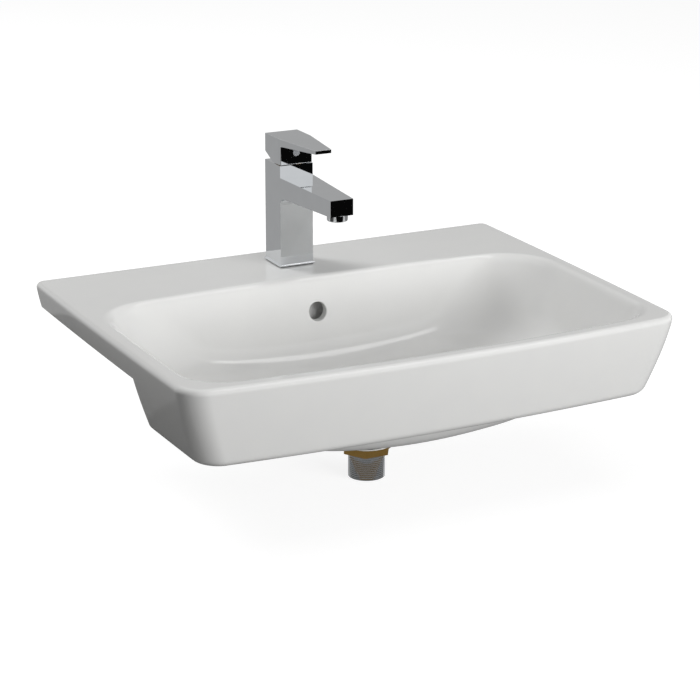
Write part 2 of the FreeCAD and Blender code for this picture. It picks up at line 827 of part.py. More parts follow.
waterway = rod("waterway", size("waterway_diameter") / 2, math.hypot(waterway_run, waterway_climb), 0,
               TAP_Y + outlet_y, DECK + size("waterway_low"), Rotation(Vector(1, 0, 0), 90 - climb_angle))
tap_body = cut("tap_body", tap_casting, [waterway])

plate_half = HALF + size("base_margin")
tap_base_plate = document.addObject("PartDesign::Body", "tap_base_plate")
padded(tap_base_plate, "plate_square", "XY_Plane", rectangle(plate_half, -plate_half, plate_half),
       size("base_plate"), size("base_seal"))
pocketed(tap_base_plate, "plate_hole", "XY_Plane", (HOLE_RADIUS, 0, 0), TAP_BOTTOM, TAP_BOTTOM)
put(tap_base_plate, 0, TAP_Y, DECK)
tap_base_seal = document.addObject("PartDesign::Body", "tap_base_seal")
padded(tap_base_seal, "seal_square", "XY_Plane", rectangle(HALF, -HALF, HALF), size("base_seal"))
pocketed(tap_base_seal, "seal_hole", "XY_Plane", (HOLE_RADIUS, 0, 0), size("base_seal"), size("base_seal"))
put(tap_base_seal, 0, TAP_Y, DECK)

# ---------------------------------------------------------------- lever handle

LEVER_HALF = HALF - size("lever_margin")
LEVER_BOTTOM = TAP_TOP + size("lever_gap")
LEVER_LENGTH = size("lever_length")
LEVER_TIP_HALF = size("lever_tip_width") / 2
STEM_HALF = size("stem_width") / 2
lever_handle = document.addObject("PartDesign::Body", "lever_handle")
lever_side = [
    (0, LEVER_BOTTOM),
    (LEVER_HALF, LEVER_BOTTOM + size("lever_chamfer")),
    (LEVER_HALF, size("lever_rear_top")),
    (-LEVER_LENGTH, size("lever_tip_top")),
    (-LEVER_LENGTH, size("lever_tip_top") - size("lever_tip_thickness")),
    (-LEVER_HALF, size("lever_root_underside")),
    (-LEVER_HALF, LEVER_BOTTOM),
]
padded(lever_handle, "lever_bar", "YZ_Plane", lever_side, LEVER_HALF * 2, symmetric=True)
lever_lift_off = size("lever_tip_top") + TOUCH
for side, word in ((1, "right"), (-1, "left")):
    pocketed(lever_handle, "lever_taper_" + word, "XY_Plane",
             taper(side, LEVER_HALF, size("lever_taper_start"), LEVER_TIP_HALF, LEVER_LENGTH),
             lever_lift_off, lever_lift_off)
pocketed(lever_handle, "hub_hollow", "XY_Plane", (size("hub_diameter") / 2, 0, 0), size("hub_top") - TAP_TOP,
         TAP_TOP, upwards=True)
pocketed(lever_handle, "stem_socket", "XY_Plane", rectangle(STEM_HALF, -STEM_HALF, STEM_HALF),
         size("stem_top") + size("free_gap") - TAP_TOP, TAP_TOP, upwards=True)
pocketed(lever_handle, "screw_thread", "XZ_Plane", (size("screw_diameter") / 2, 0, size("button_height")),
         LEVER_HALF - STEM_HALF + TOUCH, LEVER_HALF + TOUCH)
pocketed(lever_handle, "button_seat", "XZ_Plane", (size("button_diameter") / 2, 0, size("button_height")),
         size("button_sink") + TOUCH, LEVER_HALF + TOUCH)
put(lever_handle, 0, TAP_Y, DECK)

TO_FRONT = Rotation(Vector(1, 0, 0), 90)
BUTTON_Z = DECK + size("button_height")
plug_radius = size("screw_diameter") / 2
button_radius = size("button_diameter") / 2
temperature_index_button = turned("temperature_index_button", [
    (0, -size("button_plug_length")), (plug_radius, -size("button_plug_length")), (plug_radius, 0),
    (button_radius, 0), (button_radius, size("button_thickness")), (0, size("button_thickness")),
], 0, TAP_Y - LEVER_HALF + size("button_sink"), BUTTON_Z, TO_FRONT)
handle_grub_screw = rod("handle_grub_screw", size("screw_diameter") / 2, size("screw_length"), 0,
                        TAP_Y - STEM_HALF, BUTTON_Z, TO_FRONT)

# ---------------------------------------------------------------- cartridge

BASE_TOP = SEAT + size("cartridge_base_height")
DISC_TOP = BASE_TOP + size("disc_thickness")
MOVING_BOTTOM = DISC_TOP + size("disc_gap")
PORT_X = size("port_spread") / 2
PORT_Y = -size("port_offset")
PORT_RADIUS = size("port_diameter") / 2
OUTLET = (size("outlet_diameter") / 2, 0, size("outlet_offset"))
BORE_RADIUS = size("cartridge_diameter") / 2 - size("housing_wall")
NECK_RADIUS = size("carrier_neck_diameter") / 2
PIVOT = size("pivot_height")


def disc(name, radius, height, low):
    """A body that starts as a plain disc about the tap's axis."""
    body = document.addObject("PartDesign::Body", name)
    padded(body, name + "_round", "XY_Plane", (radius, 0, 0), height, low)
    put(body, 0, TAP_Y, DECK)
    return body


cartridge_base = disc("cartridge_base", size("cartridge_diameter") / 2, size("cartridge_base_height"), SEAT)
half_base = size("cartridge_base_height") / 2 + size("base_port_overlap")
seal_places = [("outlet", 0, size("outlet_offset"))]
pocketed(cartridge_base, "base_outlet", "XY_Plane", OUTLET, size("cartridge_base_height"), SEAT, upwards=True)
for side, word in SIDES:
    pocketed(cartridge_base, f"base_{word}_low", "XY_Plane",
             (size("base_port_diameter") / 2, INLET_X * side, INLET_Y), half_base, SEAT, upwards=True)
    pocketed(cartridge_base, f"base_{word}_high", "XY_Plane", (PORT_RADIUS, PORT_X * side, PORT_Y),
             half_base, BASE_TOP)
    seal_places.append((word, INLET_X * side, INLET_Y))
seals = []
for word, across, ahead in seal_places:
    pocketed(cartridge_base, f"{word}_seal_seat", "XY_Plane", (size("port_seal_diameter") / 2, across, ahead),
             size("port_seal_height"), SEAT, upwards=True)
    seals.append(ring(f"{word}_port_seal", size("passage_diameter") / 2, size("port_seal_diameter") / 2,
                      0, size("port_seal_height"), across, TAP_Y + ahead, DECK + SEAT))
cartridge_port_seals = document.addObject("Part::Compound", "cartridge_port_seals")
cartridge_port_seals.Links = seals

fixed_ceramic_disc = disc("fixed_ceramic_disc", size("fixed_disc_diameter") / 2, size("disc_thickness"), BASE_TOP)
pocketed(fixed_ceramic_disc, "disc_outlet", "XY_Plane", OUTLET, size("disc_thickness"), DISC_TOP)
for side, word in SIDES:
    pocketed(fixed_ceramic_disc, f"disc_{word}", "XY_Plane", (PORT_RADIUS, PORT_X * side, PORT_Y),
             size("disc_thickness"), DISC_TOP)
moving_top = MOVING_BOTTOM + size("moving_disc_height")
moving_ceramic_disc = disc("moving_ceramic_disc", size("moving_disc_diameter") / 2, size("moving_disc_height"),
                           MOVING_BOTTOM)
pocketed(moving_ceramic_disc, "mixing_recess", "XY_Plane", (size("mixing_recess_diameter") / 2, 0, 0),
         size("mixing_recess_depth"), MOVING_BOTTOM, upwards=True)
pocketed(moving_ceramic_disc, "ball_socket", "XY_Plane", (size("ball_socket_diameter") / 2, 0, 0),
         size("ball_socket_depth"), moving_top)

carrier_radius = size("carrier_diameter") / 2
lever_carrier = turned("lever_carrier", [
    (0, size("carrier_bottom")), (carrier_radius, size("carrier_bottom")),
    (carrier_radius, size("carrier_shoulder")), (NECK_RADIUS, size("carrier_shoulder")),
    (NECK_RADIUS, size("carrier_top")), (0, size("carrier_top")),
], 0, TAP_Y, DECK)
slot_half = size("carrier_slot_length") / 2
pocketed(lever_carrier, "stem_slot", "XY_Plane", rectangle(STEM_HALF + size("free_gap"), -slot_half, slot_half),
         size("carrier_top") - size("carrier_bottom"), size("carrier_top"))
pocketed(lever_carrier, "pin_hole", "YZ_Plane", (size("pivot_pin_diameter") / 2, 0, PIVOT),
         size("carrier_diameter"), symmetric=True)

TO_RIGHT = Rotation(Vector(0, 1, 0), 90)
stem_pivot_pin = rod("stem_pivot_pin", size("pivot_pin_diameter") / 2, size("pivot_pin_length"),
                     size("pivot_pin_length") / -2, TAP_Y, DECK + PIVOT, TO_RIGHT)
stem_bar = box("stem_bar", -STEM_HALF, TAP_Y - STEM_HALF, DECK + size("stem_bottom"), size("stem_width"),
               size("stem_width"), size("stem_top") - size("stem_bottom"))
stem_neck = rod("stem_neck", size("stem_neck_diameter") / 2,
                size("stem_bottom") - size("ball_height") + TOUCH, 0, TAP_Y, DECK + size("ball_height"))
stem_ball = document.addObject("Part::Sphere", "stem_ball")
bind(stem_ball, Radius=size("ball_diameter") / 2)
put(stem_ball, 0, TAP_Y, DECK + size("ball_height"))
stem_hole = rod("stem_hole", size("pivot_pin_diameter") / 2 + size("running_gap"), size("stem_width") * 2,
                -size("stem_width"), TAP_Y, DECK + PIVOT, TO_RIGHT)
cartridge_stem = cut("cartridge_stem", joined("stem_blank", [stem_bar, stem_neck, stem_ball]), [stem_hole])

roof_bottom = SHOULDER - size("housing_roof")
neck_bore = NECK_RADIUS + size("running_gap")
cartridge_housing = turned("cartridge_housing", [
    (BORE_RADIUS, BASE_TOP), (size("cartridge_diameter") / 2, BASE_TOP),
    (size("cartridge_diameter") / 2, SHOULDER), (size("housing_neck_diameter") / 2, SHOULDER),
    (size("housing_neck_diameter") / 2, size("housing_top")), (neck_bore, size("housing_top")),
    (neck_bore, roof_bottom), (BORE_RADIUS, roof_bottom),
], 0, TAP_Y, DECK)
cartridge_retaining_nut = ring("cartridge_retaining_nut", size("housing_neck_diameter") / 2 + size("free_gap"),
                               size("nut_diameter") / 2, SHOULDER, TAP_TOP - size("nut_top_gap"), 0, TAP_Y, DECK)

# ---------------------------------------------------------------- aerator

AERATOR_PLACE = (0, TAP_Y + AERATOR_Y, DECK + size("aerator_seat"))
aerator_radius = size("aerator_diameter") / 2
thread_radius = size("aerator_thread_diameter") / 2
insert_radius = size("aerator_bore_diameter") / 2
lip_radius = insert_radius - size("aerator_lip")
aerator_bottom = -size("aerator_drop")
insert_bottom = aerator_bottom + size("aerator_lip_height")
aerator_housing = turned("aerator_housing", [
    (lip_radius, aerator_bottom), (aerator_radius - size("aerator_chamfer"), aerator_bottom),
    (aerator_radius, aerator_bottom + size("aerator_chamfer")), (aerator_radius, 0), (thread_radius, 0),
    (thread_radius, size("aerator_thread_length")), (insert_radius, size("aerator_thread_length")),
    (insert_radius, insert_bottom), (lip_radius, insert_bottom),
], *AERATOR_PLACE)
insert_disc = rod("insert_disc", insert_radius, size("aerator_insert_height"), 0, TAP_Y + AERATOR_Y,
                  DECK + size("aerator_seat") + insert_bottom)
jet_radius = size("aerator_jet_diameter") / 2
jet_length = size("aerator_drop") + size("aerator_insert_height")
jet_low = DECK + size("aerator_seat") + aerator_bottom
jets = [rod("jet_middle", jet_radius, jet_length, 0, TAP_Y + AERATOR_Y, jet_low)]
for name in ("inner", "outer"):
    ring_size = size(f"aerator_{name}_ring")
    count = int(mm(f"aerator_{name}_jets"))
    for index in range(count):
        turn = 2 * math.pi * index / count
        jets.append(rod(f"jet_{name}_{index}", jet_radius, jet_length, ring_size * math.cos(turn),
                        TAP_Y + AERATOR_Y + ring_size * math.sin(turn), jet_low))
aerator_insert = cut("aerator_insert", insert_disc, jets)
aerator_washer = ring("aerator_washer", insert_radius - size("aerator_lip"), thread_radius - size("free_gap"),
                      size("aerator_thread_length"), size("aerator_thread_length") + size("aerator_washer"),
                      *AERATOR_PLACE)

# ---------------------------------------------------------------- fixing under the deck

STUD_Y = TAP_Y + size("stud_offset")
STUD_BOTTOM = DECK + TAP_BOTTOM + size("stud_grip") - size("stud_length")
mounting_stud = rod("mounting_stud", size("stud_diameter") / 2, size("stud_length"), 0, STUD_Y, STUD_BOTTOM)


def clamp_washer(name, height, low):
    """A round washer with a wide slot to the front for the hoses and a hole for the stud."""
    whole = rod(name + "_round", size("clamp_washer_diameter") / 2, height, 0, TAP_Y, low)
    slot = box(name + "_slot", size("clamp_slot_width") / -2, TAP_Y - size("clamp_washer_diameter"), low - TOUCH,
               size("clamp_slot_width"), size("clamp_washer_diameter") + size("clamp_slot_end"), height * 2)
    hole = rod(name + "_hole", size("stud_diameter") / 2 + size("free_gap"), height * 2, 0, STUD_Y, low - TOUCH)
    return cut(name, whole, [slot, hole])


RUBBER_BOTTOM = DECK_UNDERSIDE - size("rubber_washer")
STEEL_BOTTOM = RUBBER_BOTTOM - size("steel_washer")
mounting_washer_rubber = clamp_washer("mounting_washer_rubber", size("rubber_washer"), RUBBER_BOTTOM)
mounting_washer_steel = clamp_washer("mounting_washer_steel", size("steel_washer"), STEEL_BOTTOM)
nut_blank = hexagon("nut_blank", size("stud_nut_flats"), size("stud_nut_height"), 0, STUD_Y,
                    STEEL_BOTTOM - size("stud_nut_height"))
nut_thread = rod("nut_thread", size("stud_diameter") / 2, size("stud_nut_height") * 2, 0, STUD_Y,
                 STEEL_BOTTOM - size("stud_nut_height") - TOUCH)
mounting_nut = cut("mounting_nut", nut_blank, [nut_thread])

# ---------------------------------------------------------------- waste
# Each piece is drawn about the waste axis, with its heights from the bowl's floor.

WASTE_PLACE = (0, WASTE_Y, WASTE_SEAT)
shank_radius = size("waste_shank_diameter") / 2
tail_radius = size("waste_tail_diameter") / 2
waste_bore = size("waste_bore_diameter") / 2
flange_radius = size("flange_diameter") / 2
mouth_radius = size("waste_mouth_diameter") / 2
FLANGE_BOTTOM = -size("flange_thickness")
COLLAR_LOW = -size("collar_height")
TAIL_LOW = -size("waste_length")
TAIL_TOP = TAIL_LOW + size("waste_tail_length")
waste_barrel = turned("waste_barrel", [
    (waste_bore, TAIL_LOW), (tail_radius, TAIL_LOW), (tail_radius, TAIL_TOP), (shank_radius, TAIL_TOP),
    (shank_radius, FLANGE_BOTTOM), (flange_radius, FLANGE_BOTTOM), (flange_radius, 0), (mouth_radius, 0),
    (waste_bore, -size("waste_mouth_depth")),
], *WASTE_PLACE)
waste_slot = box("waste_slot", size("slot_width") / -2, WASTE_Y - size("waste_shank_diameter"),
                 WASTE_SEAT - size("slot_top") - size("slot_height"), size("slot_width"),
                 size("waste_shank_diameter") * 2, size("slot_height"))
spider_bottom = WASTE_SEAT - size("spider_drop") - size("spider_thickness")
arm_length = size("waste_bore_diameter") + TOUCH * 2
arm_across = box("arm_across", arm_length / -2, WASTE_Y - size("spider_arm") / 2, spider_bottom, arm_length,
                 size("spider_arm"), size("spider_thickness"))
arm_along = box("arm_along", size("spider_arm") / -2, WASTE_Y - arm_length / 2, spider_bottom,
                size("spider_arm"), arm_length, size("spider_thickness"))
spider_boss = rod("spider_boss", size("spider_boss_diameter") / 2, size("spider_thickness"), 0, WASTE_Y,
                  spider_bottom)
latch_hole = rod("latch_hole", size("latch_diameter") / 2, size("spider_thickness") * 2, 0, WASTE_Y,
                 spider_bottom - TOUCH)
waste_tube = cut("waste_tube", waste_barrel, [waste_slot])
waste_body = cut("waste_body", joined("waste_blank", [waste_tube, arm_across, arm_along, spider_boss]),
                 [latch_hole])
waste_top_seal = ring("waste_top_seal", shank_radius + size("free_gap"), flange_radius - size("free_gap"),
                      FLANGE_BOTTOM - size("flange_seal"), FLANGE_BOTTOM, *WASTE_PLACE)
washer_radius = size("waste_washer_diameter") / 2
SEAL_LOW = COLLAR_LOW - size("bottom_seal")
SLIP_LOW = SEAL_LOW - size("slip_washer")
waste_bottom_seal = ring("waste_bottom_seal", shank_radius, washer_radius, SEAL_LOW, COLLAR_LOW, *WASTE_PLACE)
waste_slip_washer = ring("waste_slip_washer", shank_radius + size("free_gap"), washer_radius, SLIP_LOW,
                         SEAL_LOW, *WASTE_PLACE)
NUT_LOW = WASTE_SEAT + SLIP_LOW - size("waste_nut_height")
backnut_hexagon = hexagon("backnut_hexagon", size("waste_nut_flats"), size("waste_nut_height"), 0, WASTE_Y,
                          NUT_LOW)
backnut_flange = rod("backnut_flange", size("waste_nut_diameter") / 2, size("waste_nut_flange"), 0, WASTE_Y,
                     WASTE_SEAT + SLIP_LOW - size("waste_nut_flange"))
backnut_thread = rod("backnut_thread", shank_radius, size("waste_nut_height") * 2, 0, WASTE_Y, NUT_LOW - TOUCH)
waste_backnut = cut("waste_backnut", joined("backnut_blank", [backnut_hexagon, backnut_flange]),
                    [backnut_thread])

latch_radius = size("latch_diameter") / 2
LATCH_LOW = -size("spider_drop") - size("spider_thickness")
LATCH_TOP = LATCH_LOW + size("latch_height")
latch_bore = size("plug_stem_diameter") / 2 + size("running_gap")
plug_latch = turned("plug_latch", [
    (0, LATCH_LOW), (latch_radius, LATCH_LOW), (latch_radius, LATCH_TOP), (latch_bore, LATCH_TOP),
    (latch_bore, LATCH_TOP - size("latch_bore_depth")), (0, LATCH_TOP - size("latch_bore_depth")),
], *WASTE_PLACE)
CAP_LOW = size("plug_lift")
CAP_TOP = CAP_LOW + size("plug_thickness")
HUB_LOW = CAP_LOW - size("plug_hub_height")
hub_radius = size("plug_hub_diameter") / 2
cap_radius = size("plug_diameter") / 2
plug_cap = turned("plug_cap", [
    (0, HUB_LOW), (hub_radius, HUB_LOW), (hub_radius, CAP_LOW), (cap_radius, CAP_LOW),
    (cap_radius, CAP_TOP - size("plug_edge")), (cap_radius - size("plug_edge") * 2, CAP_TOP), (0, CAP_TOP),
], *WASTE_PLACE)
plug_seal = turned("plug_seal", [
    (hub_radius, HUB_LOW), (size("plug_seal_low_diameter") / 2, HUB_LOW),
    (size("plug_seal_diameter") / 2, CAP_LOW - size("plug_seal_edge")),
    (size("plug_seal_diameter") / 2, CAP_LOW), (hub_radius, CAP_LOW),
], *WASTE_PLACE)
plug_stem = rod("plug_stem", size("plug_stem_diameter") / 2, size("plug_stem_length"), 0, WASTE_Y,
                WASTE_SEAT + HUB_LOW - size("plug_stem_length"))

# ---------------------------------------------------------------- save


def export(pieces):
    """Check each piece, then write it to its own file."""
    document.recompute()
    for item in document.Objects:
        if "Invalid" in item.State or "Error" in item.State:
            raise RuntimeError(f"{item.Label} did not build: {item.State}")
    for piece in pieces:
        if piece.Shape.isNull() or not piece.Shape.isValid():
            raise RuntimeError(f"{piece.Label} has no valid shape")
    os.makedirs("parts", exist_ok=True)
    for piece in pieces:
        piece.Shape.exportStep(f"parts/{piece.Label}.step")
        print(f"{piece.Label}: {piece.Shape.Volume / 1000:.2f} cm3, {len(piece.Shape.Solids)} solid(s)")


export([
    basin,
    tap_body, tap_base_plate, tap_base_seal,
    lever_handle, temperature_index_button, handle_grub_screw,
    cartridge_housing, cartridge_base, cartridge_port_seals, fixed_ceramic_disc, moving_ceramic_disc,
    lever_carrier, stem_pivot_pin, cartridge_stem, cartridge_retaining_nut,
    aerator_housing, aerator_insert, aerator_washer,
    mounting_stud, mounting_washer_rubber, mounting_washer_steel, mounting_nut,
    waste_body, waste_top_seal, waste_bottom_seal, waste_slip_washer, waste_backnut,
    plug_cap, plug_seal, plug_stem, plug_latch,
])
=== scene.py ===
import math

import bmesh
import bpy
import numpy as np
from mathutils import Matrix, Vector


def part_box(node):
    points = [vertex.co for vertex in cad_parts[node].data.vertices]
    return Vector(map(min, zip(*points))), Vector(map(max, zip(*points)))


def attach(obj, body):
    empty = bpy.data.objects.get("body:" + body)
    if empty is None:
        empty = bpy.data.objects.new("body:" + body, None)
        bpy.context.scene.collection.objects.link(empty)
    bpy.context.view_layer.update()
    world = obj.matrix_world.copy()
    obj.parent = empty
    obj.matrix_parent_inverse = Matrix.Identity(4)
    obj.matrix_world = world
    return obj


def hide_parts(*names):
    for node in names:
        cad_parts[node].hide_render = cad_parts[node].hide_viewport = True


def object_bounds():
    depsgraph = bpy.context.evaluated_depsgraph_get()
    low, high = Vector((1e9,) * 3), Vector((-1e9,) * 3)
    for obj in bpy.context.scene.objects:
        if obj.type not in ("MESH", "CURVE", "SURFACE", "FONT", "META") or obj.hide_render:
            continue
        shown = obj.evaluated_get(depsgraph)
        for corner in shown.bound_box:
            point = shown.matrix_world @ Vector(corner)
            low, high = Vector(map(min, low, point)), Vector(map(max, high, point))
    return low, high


# The looks of a semi recessed basin with its mixer tap and its waste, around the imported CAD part.
# Lengths are in metres. +X is right, +Y is to the wall, +Z is up, and the worktop plane is z = 0.

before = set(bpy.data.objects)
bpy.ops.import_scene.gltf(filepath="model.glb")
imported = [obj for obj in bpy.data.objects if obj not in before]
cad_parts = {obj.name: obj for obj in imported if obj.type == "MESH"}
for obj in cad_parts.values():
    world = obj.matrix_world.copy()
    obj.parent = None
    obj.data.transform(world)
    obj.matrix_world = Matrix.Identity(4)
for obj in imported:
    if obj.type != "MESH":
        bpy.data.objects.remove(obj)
CAD_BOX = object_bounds()
MM = 0.001
TAU = 2 * math.pi
QUARTER_TURN = math.pi / 2

# ---------------------------------------------------------------- sizes of the basin

BASIN_LOW, BASIN_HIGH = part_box("basin")
WASTE_LOW, WASTE_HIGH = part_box("waste_body")
DECK = BASIN_HIGH[2]
REAR = BASIN_HIGH[1]

# The outline in plan: the sides taper and the front bows.
WIDTH = 600 * MM
DEPTH = 460 * MM
FRONT = REAR - DEPTH
SIDE_TAPER = 5 * MM
FRONT_BOW = 14.5 * MM
WIDEST = REAR - 120 * MM
REAR_CORNER = 11 * MM
FRONT_CORNER = 27 * MM

# The apron in front of the worktop leans in towards its foot.
NOTCH = REAR - 296 * MM
APRON = 92 * MM
SIDE_LEAN = 25.5 * MM
FRONT_LEAN = 19.5 * MM
LEAN_POWER = 1.33
APRON_ROUND = 8 * MM
APRON_WALL = 12 * MM

# The deck, its rim and the foot that lies on the worktop
RIM_ROUND = 7 * MM
FOOT_ROUND = 3 * MM
FOOT_WIDTH = 16 * MM
DECK_WALL = 14 * MM

# The bowl: its plan, the bends at its lip and its crease, the slopes of its walls and the rises of
# its floor from the waste seat to each wall
DECK_DEPTH = 127 * MM
RIM_LAND = 22 * MM
REAR_BOW = 14 * MM
BOWL_DEPTH = 116 * MM
BOWL_WALL = 10 * MM
BOWL_REAR_CORNER = 60 * MM
BOWL_FRONT_CORNER = 46 * MM
CORNER_GROWTH = 0.75
LIP_REACH = 8 * MM
CREASE_REACH = 22 * MM
SIDE_SLOPE = math.tan(math.radians(24))
REAR_SLOPE = math.tan(math.radians(12))
FRONT_SLOPE = math.tan(math.radians(18))
SIDE_RISE = 0.19
REAR_RISE = 0.29
FRONT_RISE = 0.06

# The waste seat with its small corner, and the collar below it
WASTE = np.array([0.0, (WASTE_LOW[1] + WASTE_HIGH[1]) / 2])
WASTE_HOLE = 23 * MM
SEAT_RADIUS = 33 * MM
SEAT_RECESS = 3 * MM
SEAT_CORNER = 0.5 * MM
COLLAR_RADIUS = 39 * MM
COLLAR_BOTTOM = BASIN_LOW[2]
COLLAR_CORNER = 1.5 * MM

# The overflow hole and the duct behind it
OVERFLOW_RADIUS = 11 * MM
OVERFLOW_Z = DECK - 41 * MM
OVERFLOW_ROUND = 1.4 * MM
DUCT_HALF = 18 * MM
DUCT_GAP = 14 * MM
DUCT_WALL = 8 * MM
DUCT_ABOVE_HOLE = 1 * MM

# The tap hole
TAP_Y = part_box("tap_body")[1][1] - 21 * MM
TAP_HOLE = 17.5 * MM

# Columns round each half of the basin, and rows of its skin in the order in which they follow. They
# keep the whole basin under 200,000 triangles.
HALF_COLUMNS = 220
FLOOR_ROWS = 17
CREASE_ROWS = 15
WALL_ROWS = 22
LIP_ROWS = 9
DECK_ROWS = 14
RIM_ROWS = 9
FOOT_ROWS = 6
SIDE_ROWS = 15
APRON_ROUND_ROWS = 8
INNER_ROWS = SIDE_ROWS + APRON_ROUND_ROWS
STEP_ROWS = 4
CEILING_ROWS = 14
DUCT_ROWS = 40


def bow_radius(half_chord, rise):
    """The radius of an arc from half its chord and its rise: (c^2 / h + h) / 2."""
    return (half_chord ** 2 / rise + rise) / 2


SIDE_RADIUS = bow_radius(DEPTH - (REAR - WIDEST), SIDE_TAPER)
FRONT_RADIUS = bow_radius(WIDTH / 2, FRONT_BOW)
BOWL_HALF = WIDTH / 2 - RIM_LAND
BOWL_REAR_RADIUS = bow_radius(BOWL_HALF, REAR_BOW)

# ---------------------------------------------------------------- plan curves as distances


def blended(first, second, radius):
    """Distance to a corner of two sides that is rounded: min(max(a, b), -r) + |(a + r, b + r)+|."""
    outside = np.hypot(np.maximum(first + radius, 0), np.maximum(second + radius, 0))
    return np.minimum(np.maximum(first, second), -radius) + outside


def lean(depth, total):
    """How far a side has drawn in at a depth: total * (depth / apron) ^ 1.33."""
    return total * (np.maximum(depth, 0) / APRON) ** LEAN_POWER


def outer_distance(x, y, depth, inset, rear_inset):
    """Distance in plan from the basin's outer line at a depth, drawn in by insets: negative inside.

    A side or the front is an arc, |place - centre| - (radius - inset - lean). The rear is straight,
    y - (rear - inset), and rounded corners join them.
    """
    side_radius = SIDE_RADIUS - inset - lean(depth, SIDE_LEAN)
    side = np.hypot(np.abs(x) - (WIDTH / 2 - SIDE_RADIUS), y - WIDEST) - side_radius
    front_radius = FRONT_RADIUS - inset - lean(depth, FRONT_LEAN)
    front = np.hypot(x, y - (FRONT + FRONT_RADIUS)) - front_radius
    rear = y - (REAR - rear_inset)
    rear_corner = np.maximum(REAR_CORNER - inset, 0.5 * MM)
    return np.maximum(blended(side, rear, rear_corner), blended(side, front, FRONT_CORNER - inset))


def bowl_distance(x, y, depth, grow):
    """Distance in plan from the bowl's wall at a depth, with the bowl grown by a wall: negative inside.

    Each side is an arc that draws in with the depth, |place - centre| - (radius - depth * slope +
    grow), and the corners between them get rounder with the depth.
    """
    side_radius = SIDE_RADIUS - depth * SIDE_SLOPE + grow
    side = np.hypot(np.abs(x) - (BOWL_HALF - SIDE_RADIUS), y - WIDEST) - side_radius
    rear_centre = REAR - DECK_DEPTH - BOWL_REAR_RADIUS
    rear = np.hypot(x, y - rear_centre) - (BOWL_REAR_RADIUS - depth * REAR_SLOPE + grow)
    front_centre = FRONT + RIM_LAND + FRONT_RADIUS
    front = np.hypot(x, y - front_centre) - (FRONT_RADIUS - depth * FRONT_SLOPE + grow)
    growth = CORNER_GROWTH * np.maximum(depth, 0) + grow
    rear_side = blended(side, rear, BOWL_REAR_CORNER + growth)
    return np.maximum(rear_side, blended(side, front, BOWL_FRONT_CORNER + growth))


def halved(inside, near, far):
    """The place between near and far where a test turns from true to false, found by halving 34 times."""
    for _ in range(34):
        middle = (near + far) / 2
        within = inside(middle)
        near = np.where(within, middle, near)
        far = np.where(within, far, middle)
    return near


def reach(distance, centre, angle):
    """Length of each ray from a centre to the line where a plan distance is nothing."""
    def inside(length):
        return distance(centre[0] + length * np.cos(angle), centre[1] + length * np.sin(angle)) < 0
    return halved(inside, np.zeros_like(angle), np.full_like(angle, WIDTH))


def shares(count):
    """Even steps up to one, without nothing: 1 / n, 2 / n to n / n."""
    return np.linspace(0, 1, count + 1)[1:]


# ---------------------------------------------------------------- columns round the basin

MIDDLE = np.array([0.0, NOTCH])
TURN_WEIGHT = 60 * MM


def column_angles():
    """Directions of the columns about the middle of the notch, rear half and then front half.

    They are even in length + weight * turning along the rim, so they are closer in its corners. Both
    halves hold the two directions where the apron starts, so that the step there is exact.
    """
    def half(start, end):
        even = np.linspace(start, end, 4 * HALF_COLUMNS)
        length = reach(lambda x, y: outer_distance(x, y, 0.0, 0.0, 0.0), MIDDLE, even)
        x = length * np.cos(even)
        y = length * np.sin(even)
        step = np.hypot(np.diff(x), np.diff(y))
        heading = np.unwrap(np.arctan2(np.diff(y), np.diff(x)))
        turning = np.abs(np.diff(heading, prepend=heading[0]))
        along = np.concatenate([[0], np.cumsum(step + turning * TURN_WEIGHT)])
        return np.interp(np.linspace(0, along[-1], HALF_COLUMNS), along, even)
    return half(0, math.pi), half(math.pi, TAU)


REAR_ANGLES, FRONT_ANGLES = column_angles()
ANGLES = np.concatenate([REAR_ANGLES, FRONT_ANGLES])
IS_REAR = np.arange(len(ANGLES)) < len(REAR_ANGLES)
REAR_COLUMN = int(np.argmin(np.abs(REAR_ANGLES - QUARTER_TURN)))
FOOT_DEPTH = DECK - FOOT_ROUND
LOWEST = np.where(IS_REAR, DECK, APRON)


def outer_ring(depth, inset, rear_inset):
    """One closed row of the outside: where each column's ray meets the outer line, at DECK - depth."""
    depth = np.broadcast_to(depth, ANGLES.shape)
    length = reach(lambda x, y: outer_distance(x, y, depth, inset, rear_inset), MIDDLE, ANGLES)
    return np.stack([MIDDLE[0] + length * np.cos(ANGLES), MIDDLE[1] + length * np.sin(ANGLES),
                     DECK - depth], axis=1)


RIM_RING = outer_ring(0.0, 0.0, 0.0)
BOWL_ANGLES = np.arctan2(RIM_RING[:, 1] - WASTE[1], RIM_RING[:, 0] - WASTE[0])
LEVEL = np.zeros_like(BOWL_ANGLES)


def bowl_point(angle, length, depth):
    """Points about the waste axis from a direction, a reach and a depth below the deck."""
    x = WASTE[0] + length * np.cos(angle)
    y = WASTE[1] + length * np.sin(angle)
    return np.stack([x, y, DECK - depth], axis=1)


def bowl_reach(depth, grow):
    """How far the bowl's wall is from the waste axis in each column, at a depth."""
    return reach(lambda x, y: bowl_distance(x, y, depth, grow), WASTE, BOWL_ANGLES)


def parabola(start, corner, end, share):
    """A bend that leaves one side of a corner and joins the other: a quadratic Bezier curve."""
    return start * (1 - share) ** 2 + corner * (2 * share * (1 - share)) + end * share ** 2


def circle_row(radius, height):
    """A level ring about the waste axis."""
    return bowl_point(BOWL_ANGLES, LEVEL + radius, LEVEL + DECK - height)


def between(first, second, count):
    """Rows that run straight from one row to the next, without either."""
    return [first + (second - first) * share for share in shares(count + 1)[:-1]]


# ---------------------------------------------------------------- rows of the basin's skin


